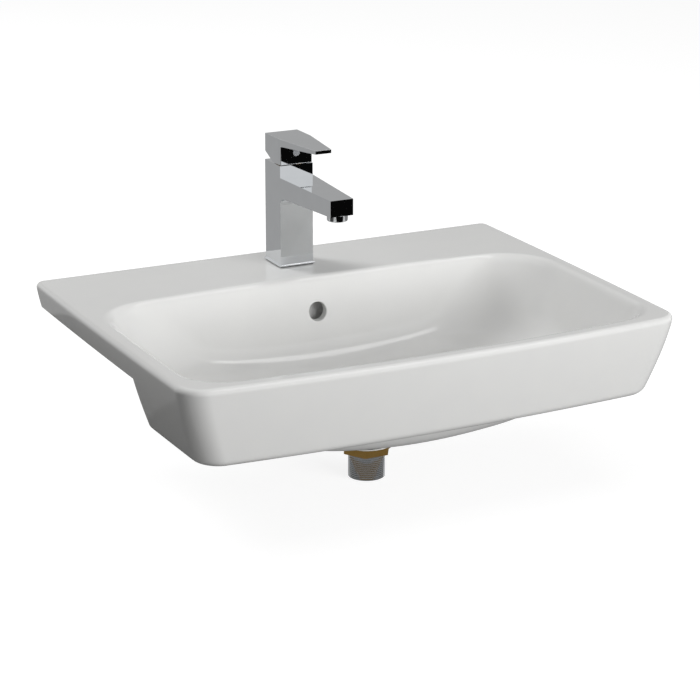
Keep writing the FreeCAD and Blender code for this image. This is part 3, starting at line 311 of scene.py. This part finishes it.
def bowl_rows(grow, top_depth, foot_radius):
    """Rows of the bowl's surface from its foot up to a depth below the deck.

    In a column the floor is straight, depth = bottom - rise * (reach - seat radius), then a parabola
    rounds the crease, and the wall goes where the bowl distance is nothing. The crease is the one
    depth where floor and wall agree, found by going back and forth between the two.
    """
    angle = BOWL_ANGLES
    bottom = BOWL_DEPTH + grow
    rearward = np.sin(angle)
    steep = np.where(rearward > 0, REAR_RISE, FRONT_RISE)
    rise = SIDE_RISE + (steep - SIDE_RISE) * rearward ** 2

    crease = LEVEL + bottom
    for _ in range(40):
        crease = bottom - rise * (bowl_reach(crease, grow) - SEAT_RADIUS)
    bend = CREASE_REACH + grow
    corner = np.stack([bowl_reach(crease, grow), crease])
    wall_end = np.stack([bowl_reach(crease - bend, grow), crease - bend])
    inward = np.minimum(bend, (corner[0] - SEAT_RADIUS) / 2)
    floor_end = np.stack([corner[0] - inward, crease + rise * inward])
    foot = np.stack([LEVEL + foot_radius, bottom - rise * (foot_radius - SEAT_RADIUS)])
    rows = []
    for share in np.arange(FLOOR_ROWS) / FLOOR_ROWS:
        rows.append(bowl_point(angle, *(foot * (1 - share) + floor_end * share)))
    for share in np.arange(CREASE_ROWS) / CREASE_ROWS:
        rows.append(bowl_point(angle, *parabola(floor_end, corner, wall_end, share)))
    for share in np.linspace(0, 1, WALL_ROWS):
        depth = wall_end[1] * (1 - share) + top_depth * share
        rows.append(bowl_point(angle, bowl_reach(depth, grow), depth))
    return rows


def seat_rows():
    """The waste hole and the recess of the waste seat, as level rings."""
    seat = DECK - BOWL_DEPTH
    sunk = seat - SEAT_RECESS
    return [circle_row(WASTE_HOLE, COLLAR_BOTTOM), circle_row(WASTE_HOLE, sunk),
            circle_row(SEAT_RADIUS - SEAT_CORNER, sunk), circle_row(SEAT_RADIUS, sunk + SEAT_CORNER)]


def lip_rows():
    """The bend from the bowl's wall on to the deck: a parabola round their corner."""
    top = bowl_reach(0.0, 0.0)
    wall = np.stack([bowl_reach(LIP_REACH, 0.0), LEVEL + LIP_REACH])
    corner = np.stack([top, LEVEL])
    deck = np.stack([top + LIP_REACH, LEVEL])
    return [bowl_point(BOWL_ANGLES, *parabola(wall, corner, deck, share)) for share in shares(LIP_ROWS)]


def rim_rows():
    """The quarter round of the rim, and the side below it down to the round of the foot."""
    rows = []
    for turn in shares(RIM_ROWS) * QUARTER_TURN:
        drawn_in = RIM_ROUND * (1 - math.sin(turn))
        rows.append(outer_ring(RIM_ROUND * (1 - math.cos(turn)), drawn_in, drawn_in))
    for share in shares(FOOT_ROWS):
        rows.append(outer_ring(RIM_ROUND + (FOOT_DEPTH - RIM_ROUND) * share, 0.0, 0.0))
    return rows


def apron_rows():
    """The side of the apron and its round. The rear half waits at the foot and then rounds it."""
    rows = []
    side_end = APRON - APRON_ROUND
    for share in shares(SIDE_ROWS):
        depth = np.where(IS_REAR, FOOT_DEPTH, FOOT_DEPTH + (side_end - FOOT_DEPTH) * share)
        rows.append(outer_ring(depth, 0.0, 0.0))
    radius = np.where(IS_REAR, FOOT_ROUND, APRON_ROUND)
    for turn in shares(APRON_ROUND_ROWS) * QUARTER_TURN:
        drawn_in = radius * (1 - math.cos(turn))
        depth = LOWEST - radius * (1 - math.sin(turn))
        rows.append(outer_ring(depth, drawn_in, np.where(IS_REAR, drawn_in, 0.0)))
    return rows


def inner_rows():
    """The inside of the foot and the apron, up to the depth where the foot's round starts."""
    return [outer_ring(LOWEST + (FOOT_DEPTH - LOWEST) * share, APRON_WALL, FOOT_WIDTH)
            for share in shares(INNER_ROWS)]


def basin_rows():
    """All rows of the basin's closed skin, from the waste hole up, over the rim and back underneath.

    The marks are the first and last rows of what the holes and the apron's step are cut into.
    """
    marks = {}
    rows = seat_rows() + bowl_rows(0.0, LIP_REACH, SEAT_RADIUS)
    marks["bowl wall"] = (len(rows) - WALL_ROWS, len(rows) - 1)
    rows += lip_rows()
    marks["deck"] = (len(rows) - 1, len(rows) + DECK_ROWS)
    rim = outer_ring(0.0, RIM_ROUND, RIM_ROUND)
    rows += between(rows[-1], rim, DECK_ROWS) + [rim] + rim_rows()
    step_start = len(rows) - 1
    rows += apron_rows()
    marks["step outside"] = (step_start, len(rows) - 1)
    step_return = len(rows)
    rows += [outer_ring(LOWEST, APRON_WALL, FOOT_WIDTH)] + inner_rows()
    marks["step inside"] = (step_return, len(rows) - 1)
    for share in shares(STEP_ROWS):
        rows.append(outer_ring(FOOT_DEPTH + (DECK_WALL - FOOT_DEPTH) * share, APRON_WALL, FOOT_WIDTH))
    marks["ceiling"] = (len(rows) - 1, len(rows) + CEILING_ROWS)
    skin = bowl_rows(BOWL_WALL, DECK_WALL, COLLAR_RADIUS)[::-1]
    rows += between(rows[-1], skin[0], CEILING_ROWS)
    marks["skin wall"] = (len(rows), len(rows) + WALL_ROWS - 1)
    rows += skin
    rows.append(circle_row(COLLAR_RADIUS, COLLAR_BOTTOM + COLLAR_CORNER))
    rows.append(circle_row(COLLAR_RADIUS - COLLAR_CORNER, COLLAR_BOTTOM))
    return rows, marks


# ---------------------------------------------------------------- meshes


def mesh_object(name, points, faces, smooth_angle=40):
    """A new object from points and faces, smooth but for edges sharper than an angle."""
    mesh = bpy.data.meshes.new(name)
    mesh.from_pydata(np.asarray(points).tolist(), [], faces)
    mesh.update()
    working = bmesh.new()
    working.from_mesh(mesh)
    bmesh.ops.remove_doubles(working, verts=working.verts, dist=0.5e-6)
    bmesh.ops.recalc_face_normals(working, faces=working.faces)
    working.to_mesh(mesh)
    working.free()
    mesh.shade_smooth()
    mesh.set_sharp_from_angle(angle=math.radians(smooth_angle))
    piece = bpy.data.objects.new(name, mesh)
    bpy.context.scene.collection.objects.link(piece)
    return piece


def hole_patch(points, faces, grid, centre, radius, inner_rings, surface):
    """Opens a round hole in a grid of points: the cells near it give way to rings that close on the hole.

    A ring is flat * (1 - s) + edge * s, from the block's border to the hole's edge. grid holds the
    point numbers of a block of rows and columns, centre is the hole's middle on the two in-plane
    axes, surface puts in-plane places on the form, and inner_rings continue the hole's edge as
    (radius, shift) pairs. It gives the point numbers of the last ring.
    """
    rim = np.concatenate([grid[0, :-1], grid[:-1, -1], grid[-1, :0:-1], grid[:0:-1, 0]])
    flat = np.array([surface.flatten(points[index]) for index in rim])
    turn = np.arctan2(flat[:, 1] - centre[1], flat[:, 0] - centre[0])
    outward = np.stack([np.cos(turn), np.sin(turn)], axis=1)
    edge = centre + radius * outward
    rings = []
    for share in 1 - (1 - shares(6)) ** 1.5:
        rings.append(surface.lift(flat * (1 - share) + edge * share))
    for ring_radius, shift in inner_rings:
        rings.append(surface.sink(centre + ring_radius * outward, edge, shift))
    previous = rim
    for ring in rings:
        first = len(points)
        points.extend(ring)
        numbers = np.arange(first, first + len(rim))
        following = np.roll(numbers, -1)
        earlier = np.roll(previous, -1)
        faces.extend(np.stack([previous, earlier, following, numbers], axis=1).tolist())
        previous = numbers
    return previous


def join_rings(points, faces, first, second, centre, surface):
    """Joins two rings about one centre whose counts differ, with triangles in the order of direction."""
    def by_direction(ring):
        flat = np.array([surface.flatten(points[index]) for index in ring]) - centre
        turn = np.arctan2(flat[:, 1], flat[:, 0])
        order = np.argsort(turn)
        return np.append(ring[order], ring[order[0]]), np.append(turn[order], turn[order[0]] + TAU)

    one, one_turn = by_direction(first)
    two, two_turn = by_direction(second)
    order = np.argsort(np.concatenate([one_turn[1:], two_turn[1:]]), kind="stable")
    on_one = order < len(one) - 1
    at = np.cumsum(on_one)
    beside = np.cumsum(~on_one)
    along_one = np.stack([one[at - 1], one[at], two[beside]], axis=1)
    along_two = np.stack([one[at], two[beside], two[beside - 1]], axis=1)
    faces.extend(np.where(on_one[:, None], along_one, along_two).tolist())


class LevelFace:
    """A flat face of the basin: places are (x, y)."""

    def __init__(self, height, into):
        self.height = height
        self.into = into

    def flatten(self, point):
        return point[:2]

    def lift(self, places):
        return [np.array([x, y, self.height]) for x, y in places]

    def sink(self, places, edge, shift):
        return [np.array([x, y, self.height + self.into * shift]) for x, y in places]


class RearWall:
    """The bowl's rear wall or the skin behind it: places are (x, z)."""

    def __init__(self, grow):
        self.grow = grow

    def flatten(self, point):
        return point[[0, 2]]

    def wall(self, places):
        x = places[:, 0]
        depth = DECK - places[:, 1]
        return halved(lambda y: bowl_distance(x, y, depth, self.grow) < 0, np.full_like(x, WASTE[1]),
                      np.full_like(x, REAR))

    def lift(self, places):
        return list(np.stack([places[:, 0], self.wall(places), places[:, 1]], axis=1))

    def sink(self, places, edge, shift):
        return list(np.stack([places[:, 0], self.wall(edge) + shift, places[:, 1]], axis=1))


def make_basin():
    """The glazed casting as one skin, with its overflow and tap holes and the step of the apron."""
    rows, marks = basin_rows()
    grid_points = np.array(rows)
    row_count, column_count = grid_points.shape[:2]
    numbers = np.arange(row_count * column_count).reshape(row_count, column_count)
    points = list(grid_points.reshape(-1, 3))
    faces = []
    keep = np.ones((row_count, column_count), dtype=bool)

    def block(first_row, last_row, half_width):
        """The smallest block of the grid about the rear column that holds a half width."""
        x = np.abs(grid_points[first_row:last_row, :, 0])
        shift = 1
        while x[:, REAR_COLUMN + shift].min() <= half_width:
            shift += 1
        keep[first_row:last_row, REAR_COLUMN - shift:REAR_COLUMN + shift] = False
        return numbers[first_row:last_row + 1, REAR_COLUMN - shift:REAR_COLUMN + shift + 1]

    def rows_about(mark, centre, half, axis):
        """The rows of a mark that lie just outside a half height at the rear column."""
        first, last = marks[mark]
        line = grid_points[first:last + 1, REAR_COLUMN, axis] - centre
        inside = np.nonzero(np.abs(line) < half)[0]
        return first + inside[0] - 1, first + inside[-1] + 1

    # The overflow hole has a rounded edge and a tube that meets the hole in the skin behind.
    overflow = np.array([0.0, OVERFLOW_Z])
    outer = OVERFLOW_RADIUS + OVERFLOW_ROUND
    bend = [(outer - OVERFLOW_ROUND * math.sin(turn), OVERFLOW_ROUND * (1 - math.cos(turn)))
            for turn in shares(6) * QUARTER_TURN]
    tube = [(OVERFLOW_RADIUS, BOWL_WALL * share) for share in (0.45, 0.7)]
    ends = []
    for mark, radius, inner_rings, grow in (("bowl wall", outer, bend + tube, 0.0),
                                            ("skin wall", OVERFLOW_RADIUS, [], BOWL_WALL)):
        low, high = rows_about(mark, OVERFLOW_Z, outer + 3 * MM, 2)
        cells = block(low, high, outer + 4 * MM)
        ends.append(hole_patch(points, faces, cells, overflow, radius, inner_rings, RearWall(grow)))
    join_rings(points, faces, *ends, overflow, RearWall(0.0))

    # The tap hole goes a third of the wall down from the deck and up from the ceiling, and is joined.
    tap = np.array([0.0, TAP_Y])
    edge = [(TAP_HOLE, DECK_WALL / 3)]
    ends = []
    for mark, height, into in (("deck", DECK, -1), ("ceiling", DECK - DECK_WALL, 1)):
        low, high = rows_about(mark, TAP_Y, TAP_HOLE + 5 * MM, 1)
        cells = block(low, high, TAP_HOLE + 5 * MM)
        ends.append(hole_patch(points, faces, cells, tap, TAP_HOLE, edge, LevelFace(height, into)))
    join_rings(points, faces, *ends, tap, LevelFace(DECK, -1))

    # Where the apron starts the skin steps. The strips between the halves are left out there, the end
    # of the apron closes from its outside to its inside, and the end of the foot closes with one face.
    step_start, under_outer = marks["step outside"]
    under_inner, step_end = marks["step inside"]
    for rear_column, front_column, seam in ((len(REAR_ANGLES) - 1, len(REAR_ANGLES), len(REAR_ANGLES) - 1),
                                            (0, column_count - 1, column_count - 1)):
        keep[step_start:step_end, seam] = False
        outside = numbers[step_start:under_outer + 1, front_column]
        inside = numbers[under_inner:step_end + 1, front_column][::-1]
        faces.extend(np.stack([outside[:-1], inside[:-1], inside[1:], outside[1:]], axis=1).tolist())
        faces.append(numbers[step_start:step_end + 1, rear_column].tolist())

    for row in range(row_count):
        following = (row + 1) % row_count
        columns = np.nonzero(keep[row])[0]
        after = (columns + 1) % column_count
        cell = np.stack([numbers[row, columns], numbers[row, after], numbers[following, after],
                         numbers[following, columns]], axis=1)
        faces.extend(cell.tolist())
    return mesh_object("basin_glaze", points, faces)


def rear_section(grow):
    """The bowl's rear section in the middle plane at a distance behind it: (y, z) from the collar up."""
    rows = np.array(bowl_rows(grow, DECK_WALL, COLLAR_RADIUS - 6 * MM))
    return rows[:, REAR_COLUMN, 1:]


def climb(section, top):
    """The part of a section below a height, as a few of its points, of which the last is at that height."""
    part = section[section[:, 1] < top]
    line = part[np.linspace(0, len(part) - 1, DUCT_ROWS).round().astype(int)]
    line[-1, 1] = top
    return line


def make_duct():
    """The overflow channel behind the bowl's rear wall: a passage in a casing, closed all round.

    Both are a U in plan whose ends are buried in the bowl's wall, carried up the rear section. Their
    eight lines make one loop, the bottom is a U of three faces, and each U has its own top.
    """
    buried = rear_section(BOWL_WALL / 2)
    gap = BOWL_WALL + DUCT_GAP
    passage_top = OVERFLOW_Z + OVERFLOW_RADIUS + DUCT_ABOVE_HOLE
    casing_top = DECK - DECK_WALL - 0.1 * MM
    lines = []
    for half_width, behind, top in ((DUCT_HALF, gap, passage_top),
                                    (DUCT_HALF + DUCT_WALL, gap + DUCT_WALL, casing_top)):
        front = climb(buried, top)
        back = climb(rear_section(behind), top)
        for x, line in ((-half_width, front), (-half_width, back), (half_width, back), (half_width, front)):
            lines.append(np.concatenate([np.full((DUCT_ROWS, 1), x), line], axis=1))
    passage, casing = np.arange(8 * DUCT_ROWS).reshape(2, 4, DUCT_ROWS)
    loop = np.concatenate([passage, casing[::-1]])
    after = np.roll(loop, -1, axis=0)
    sides = np.stack([loop[:, :-1], loop[:, 1:], after[:, 1:], after[:, :-1]], axis=-1).reshape(-1, 4)
    bottom = np.stack([passage[:-1, 0], passage[1:, 0], casing[1:, 0], casing[:-1, 0]], axis=1)
    above = [passage[:, -1], casing[:, -1], [passage[0, -1], passage[3, -1], casing[3, -1], casing[0, -1]]]
    faces = np.concatenate([sides, bottom, above]).tolist()
    return mesh_object("overflow_duct", np.concatenate(lines), faces)


basin = make_basin()
duct = make_duct()
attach(duct, "basin_and_tap")
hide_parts("basin")
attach(basin, "basin_and_tap")

# ---------------------------------------------------------------- materials


def linear(code):
    """An sRGB hex colour as linear light."""
    values = [int(code[index:index + 2], 16) / 255 for index in (1, 3, 5)]
    return [value / 12.92 if value <= 0.04045 else ((value + 0.055) / 1.055) ** 2.4
            for value in values] + [1.0]


def add(tree, kind, inputs=None, **settings):
    """A node with its inputs set to values or linked from sockets."""
    node = tree.nodes.new(kind)
    for key, value in settings.items():
        setattr(node, key, value)
    for key, value in (inputs or {}).items():
        if isinstance(value, bpy.types.NodeSocket):
            tree.links.new(value, node.inputs[key])
        else:
            node.inputs[key].default_value = value
    return node


def surface_of(name):
    """A new material with its tree cleared, and the tree."""
    material = bpy.data.materials.new(name)
    material.use_nodes = True
    material.node_tree.nodes.clear()
    return material, material.node_tree


def speckle(tree, grain_mm):
    """A noise value between 0 and 1 with grains of a size in millimetres."""
    place = add(tree, "ShaderNodeTexCoord")
    noise = add(tree, "ShaderNodeTexNoise", {"Vector": place.outputs["Object"], "Scale": 1 / (grain_mm * MM),
                                             "Detail": 2.0})
    return noise.outputs["Fac"]


def ranged(tree, value, low, high):
    """A 0 to 1 value stretched to run from low to high."""
    return add(tree, "ShaderNodeMapRange", {"Value": value, "To Min": low, "To Max": high}).outputs["Result"]


def finish_material(tree, shader):
    """Ends a tree in its output."""
    add(tree, "ShaderNodeOutputMaterial", {"Surface": shader})


def cut_thread(tree, normal, pitch_mm, axis, least_radius, top):
    """The normal of a thread about an upright axis, below a height and outside a radius.

    Its height is a triangle wave with flanks of slope 1.3: h(z) = 1.3 * pingpong(z, pitch / 2).
    """
    def worked(operation, first, second):
        return add(tree, "ShaderNodeMath", {0: first, 1: second}, operation=operation).outputs[0]

    place = add(tree, "ShaderNodeTexCoord")
    part = add(tree, "ShaderNodeSeparateXYZ", {0: place.outputs["Object"]})
    across = worked("SUBTRACT", part.outputs["X"], float(axis[0]))
    along = worked("SUBTRACT", part.outputs["Y"], float(axis[1]))
    offset = add(tree, "ShaderNodeCombineXYZ", {0: across, 1: along})
    radius = add(tree, "ShaderNodeVectorMath", {0: offset.outputs[0]}, operation="LENGTH")
    outside = worked("GREATER_THAN", radius.outputs["Value"], least_radius)
    here = worked("MULTIPLY", outside, worked("LESS_THAN", part.outputs["Z"], top))
    flank = worked("MULTIPLY", worked("PINGPONG", part.outputs["Z"], pitch_mm * MM / 2), 1.3)
    height = worked("MULTIPLY", flank, here)
    relief = add(tree, "ShaderNodeBump", {"Height": height, "Distance": 1.0, "Normal": normal})
    return relief.outputs["Normal"]


def coated(name, dark, light, roughness, metallic=0.0, grain_mm=6.0, bump=0.1, bump_mm=2.0, thread=None):
    """A finish whose colour, roughness and height vary with noise of a real size, with a thread if given."""
    material, tree = surface_of(name)
    colours = {"Factor": speckle(tree, grain_mm), "A": linear(dark), "B": linear(light)}
    tone = add(tree, "ShaderNodeMix", colours, data_type="RGBA")
    rough = ranged(tree, speckle(tree, grain_mm * 0.6), roughness * 0.85, roughness * 1.15)
    grain = {"Height": speckle(tree, bump_mm), "Strength": bump, "Distance": 0.01 * MM}
    normal = add(tree, "ShaderNodeBump", grain).outputs["Normal"]
    if thread:
        normal = cut_thread(tree, normal, **thread)
    shader = add(tree, "ShaderNodeBsdfPrincipled", {
        "Base Color": tone.outputs["Result"], "Roughness": rough, "Metallic": metallic, "Normal": normal})
    finish_material(tree, shader.outputs["BSDF"])
    return material


STUD_LOW, STUD_HIGH = (np.array(corner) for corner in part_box("mounting_stud"))
WASTE_THREAD = {"pitch_mm": 2.3, "axis": WASTE, "least_radius": 20 * MM, "top": COLLAR_BOTTOM}
STUD_THREAD = {"pitch_mm": 1.25, "axis": (STUD_LOW + STUD_HIGH) / 2, "least_radius": 3.5 * MM,
               "top": STUD_HIGH[2]}

# Vitreous china under a fired glaze: a bright white gloss with the slow waves of a dipped coat.
CHINA = coated("glazed_vitreous_china", "#DFDFDE", "#E3E3E1", 0.10, grain_mm=40.0, bump=0.25, bump_mm=9.0)
# Polished brass with bright chrome: a cool mirror that bends reflections only a little.
CHROME = coated("chrome_plated_brass", "#D6D8DA", "#DCDEE0", 0.035, metallic=1.0, grain_mm=18.0, bump=0.05,
                bump_mm=12.0)
# The same chrome over a cut thread: rings of fine bright and dark lines.
THREADED_CHROME = coated("chrome_plated_thread", "#CDD0D3", "#D8DADC", 0.08, metallic=1.0, grain_mm=18.0,
                         bump=0.05, bump_mm=12.0, thread=WASTE_THREAD)
# Moulded rubber: near black and dull, with a fine grain from its mould.
RUBBER = coated("moulded_epdm_rubber", "#161617", "#202021", 0.6, grain_mm=2.0, bump=0.6, bump_mm=0.4)
# A moulded button of grey plastic: smooth, with a soft sheen.
BUTTON = coated("grey_index_plastic", "#8B8E91", "#999C9F", 0.25, grain_mm=2.0, bump=0.1, bump_mm=0.5)
# Stainless steel off the lathe: satin, with the fine marks of the tool.
STEEL = coated("turned_stainless_steel", "#A5A6A8", "#B4B5B6", 0.25, metallic=1.0, grain_mm=3.0, bump=0.3,
               bump_mm=0.4)
# Steel with a thin coat of zinc: a dull silver with faint patches.
ZINC = coated("zinc_plated_steel", "#A3A6A6", "#B9BDBD", 0.35, metallic=1.0, grain_mm=4.0, bump=0.4,
              bump_mm=0.6)
# The same zinc over the rolled thread of the stud.
THREADED_ZINC = coated("zinc_plated_thread", "#A3A6A6", "#B9BDBD", 0.35, metallic=1.0, grain_mm=4.0, bump=0.4,
                       bump_mm=0.6, thread=STUD_THREAD)
# Machined brass, bare: a warm yellow satin.
BRASS = coated("machined_brass", "#B8934F", "#C39D5C", 0.24, metallic=1.0, grain_mm=9.0, bump=0.15,
               bump_mm=0.5)
# White acetal: a waxy, slightly matt plastic.
ACETAL = coated("moulded_white_acetal", "#E4E4E0", "#ECECE9", 0.4, grain_mm=3.0, bump=0.3, bump_mm=0.6)
# Alumina lapped flat: a cream ceramic with an even, close sheen.
ALUMINA = coated("lapped_alumina", "#E8E5DA", "#F0EDE3", 0.15, grain_mm=2.0, bump=0.2, bump_mm=0.3)

FINISHES = {
    CHROME: ["tap_body", "tap_base_plate", "lever_handle", "aerator_housing", "plug_cap"],
    THREADED_CHROME: ["waste_body"],
    THREADED_ZINC: ["mounting_stud"],
    RUBBER: ["tap_base_seal", "cartridge_port_seals", "aerator_washer", "mounting_washer_rubber",
             "waste_top_seal", "waste_bottom_seal", "plug_seal"],
    BUTTON: ["temperature_index_button"],
    STEEL: ["handle_grub_screw", "stem_pivot_pin", "plug_stem"],
    ZINC: ["mounting_washer_steel"],
    BRASS: ["mounting_nut", "cartridge_retaining_nut", "cartridge_stem", "waste_backnut"],
    ACETAL: ["cartridge_housing", "cartridge_base", "lever_carrier", "aerator_insert", "waste_slip_washer",
             "plug_latch"],
    ALUMINA: ["fixed_ceramic_disc", "moving_ceramic_disc"],
}
EDGE_WIDTHS = {"tap_body": 0.7 * MM, "lever_handle": 0.6 * MM, "tap_base_plate": 0.5 * MM,
               "plug_cap": 0.3 * MM}


def dress(piece, material):
    """One material on the whole piece."""
    piece.data.materials.clear()
    piece.data.materials.append(material)


def soften(piece, width):
    """Small rounded edges on a CAD node, by modifiers only."""
    weld = piece.modifiers.new("weld", "WELD")
    weld.merge_threshold = 0.01 * MM
    bevel = piece.modifiers.new("edge", "BEVEL")
    bevel.width = width
    bevel.segments = 3
    bevel.limit_method = "ANGLE"
    bevel.angle_limit = math.radians(35)
    bevel.harden_normals = True
    bevel.miter_outer = "MITER_ARC"


dress(basin, CHINA)
dress(duct, CHINA)
for material, names in FINISHES.items():
    for name in names:
        dress(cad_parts[name], material)
for name, width in EDGE_WIDTHS.items():
    soften(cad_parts[name], width)

# ---------------------------------------------------------------- floor, cards, lamps and sky

FLOOR_Z = CAD_BOX[0][2] - 1 * MM
GROUND_CARD_Z = FLOOR_Z + 0.5 * MM
CARD_Z = FLOOR_Z + 20 * MM
FLOOR_HALF = 15
WHITE = linear("#FFFFFF")


def seen_directly(tree):
    """1 for rays that come from the camera, or by way of a mirror or glass, else 0."""
    ray = add(tree, "ShaderNodeLightPath")
    either = add(tree, "ShaderNodeMath", {0: ray.outputs["Is Camera Ray"], 1: ray.outputs["Is Glossy Ray"]},
                 operation="MAXIMUM")
    return add(tree, "ShaderNodeMath", {0: either.outputs[0], 1: ray.outputs["Is Transmission Ray"]},
               operation="MAXIMUM").outputs[0]


def card(name, centre, half_across, half_along, material):
    """A flat card given by its middle and its two half lengths as vectors."""
    centre, across, along = (np.array(part) for part in (centre, half_across, half_along))
    corners = [centre - across - along, centre + across - along, centre + across + along,
               centre - across + along]
    piece = mesh_object(name, corners, [(0, 1, 2, 3)])
    dress(piece, material)
    return piece


def pale_floor():
    """A matt floor that looks white where nothing shades it and throws little light back up."""
    material, tree = surface_of("pale_floor")
    matt = add(tree, "ShaderNodeBsdfDiffuse", {"Color": linear("#989898")})
    glow = add(tree, "ShaderNodeEmission", {"Color": WHITE, "Strength": 0.85})
    none = add(tree, "ShaderNodeEmission", {"Strength": 0.0})
    shown = add(tree, "ShaderNodeMixShader", {0: seen_directly(tree), 1: none.outputs[0], 2: glow.outputs[0]})
    both = add(tree, "ShaderNodeAddShader", {0: matt.outputs[0], 1: shown.outputs[0]})
    finish_material(tree, both.outputs[0])
    return material


def reflection_card(name, centre, half_across, half_along, tone, strength=1.0):
    """A card of one tone that only mirror reflections show, as a studio puts beside bright metal."""
    material, tree = surface_of(name)
    glow = add(tree, "ShaderNodeEmission", {"Color": linear(tone), "Strength": strength})
    finish_material(tree, glow.outputs[0])
    piece = card(name, centre, half_across, half_along, material)
    piece.visible_camera = False
    piece.visible_diffuse = False
    piece.visible_shadow = False
    piece.visible_transmission = False


card("floor", (0, 0, FLOOR_Z), (FLOOR_HALF, 0, 0), (0, FLOOR_HALF, 0), pale_floor())
reflection_card("ground_card", (0, 0, GROUND_CARD_Z), (2.6, 0, 0), (0, 2.6, 0), "#8A8A8A")
reflection_card("front_card", (0.35, -2.2, CARD_Z), (2.15, 0, 0), (0, 1.5, 0), "#0A0A0A")
reflection_card("left_card", (-1.2, 1.3, CARD_Z), (1.4, 0, 0), (0, 1.4, 0), "#AEAEAE")
reflection_card("rear_card", (0.9, 2.0, 0.7), (1.6, 0, 0), (0, 0, 0.65), "#B2B2B2")
reflection_card("apron_card", (-0.75, -0.06, CARD_Z), (0.6, 0, 0), (0, 0.36, 0), "#303030")
reflection_card("top_card", (1.25, -1.2, 2.5), (0.8, 0, 0), (0, 0.6, 0), "#FFFFFF", 4.0)

AIM = (0.0, -0.25, 0.0)


def lamp(name, place, size, watts):
    """A soft rectangular lamp that faces the basin. Mirrors show the cards and the sky in its stead."""
    light = bpy.data.lights.new(name, "AREA")
    light.shape = "RECTANGLE"
    light.size, light.size_y = size
    light.energy = watts
    holder = bpy.data.objects.new(name, light)
    holder.location = place
    holder.rotation_euler = (Vector(AIM) - Vector(place)).to_track_quat("-Z", "Y").to_euler()
    holder.visible_glossy = False
    bpy.context.scene.collection.objects.link(holder)


lamp("front_right_softbox", (1.45, -3.4, 0.78), (2.6, 1.5), 108)
lamp("rear_left_softbox", (-1.3, 2.0, 2.0), (1.0, 1.0), 48)
lamp("top_softbox", (0.0, -0.3, 2.6), (2.6, 2.6), 22)


def make_sky():
    """A white sky where it is seen, and a weak one where it lights."""
    world = bpy.data.worlds.new("studio")
    bpy.context.scene.world = world
    world.use_nodes = True
    tree = world.node_tree
    tree.nodes.clear()
    soft = add(tree, "ShaderNodeBackground", {"Color": WHITE, "Strength": 0.15})
    white = add(tree, "ShaderNodeBackground", {"Color": WHITE, "Strength": 1.0})
    sky = add(tree, "ShaderNodeMixShader", {0: seen_directly(tree), 1: soft.outputs[0], 2: white.outputs[0]})
    add(tree, "ShaderNodeOutputWorld", {"Surface": sky.outputs[0]})


make_sky()

# ---------------------------------------------------------------- camera

IMAGE_WIDTH = 700
SENSOR_MM = 36.0
FOCAL_PIXELS = 2294.718
AZIMUTH = math.radians(-26.519)
ELEVATION = math.radians(18.158)
ROLL = math.radians(0.086)
DISTANCE = 2593.337 * MM
TARGET = Vector((0.0, -222 * MM, -8 * MM))
CENTRE_X = 354.202 - IMAGE_WIDTH / 2
CENTRE_Y = 332.941 - IMAGE_WIDTH / 2


def make_camera():
    """The camera of the photograph, from its angles, its focal length and the image's centre."""
    back = Vector((math.sin(AZIMUTH) * math.cos(ELEVATION), -math.cos(AZIMUTH) * math.cos(ELEVATION),
                   math.sin(ELEVATION)))
    level = Vector((math.cos(AZIMUTH), math.sin(AZIMUTH), 0))
    upright = back.cross(level)
    right = level * math.cos(ROLL) + upright * math.sin(ROLL)
    up = back.cross(right)
    across = CENTRE_X * DISTANCE / FOCAL_PIXELS
    down = CENTRE_Y * DISTANCE / FOCAL_PIXELS
    place = TARGET + back * DISTANCE - right * across + up * down
    data = bpy.data.cameras.new("camera")
    data.sensor_width = SENSOR_MM
    data.lens = FOCAL_PIXELS * SENSOR_MM / IMAGE_WIDTH
    data.clip_end = 50
    camera = bpy.data.objects.new("camera", data)
    turn = Matrix((right, up, back)).transposed().to_4x4()
    camera.matrix_world = Matrix.Translation(place) @ turn
    bpy.context.scene.collection.objects.link(camera)
    bpy.context.scene.camera = camera


make_camera()
bpy.context.scene.view_settings.view_transform = "Standard"
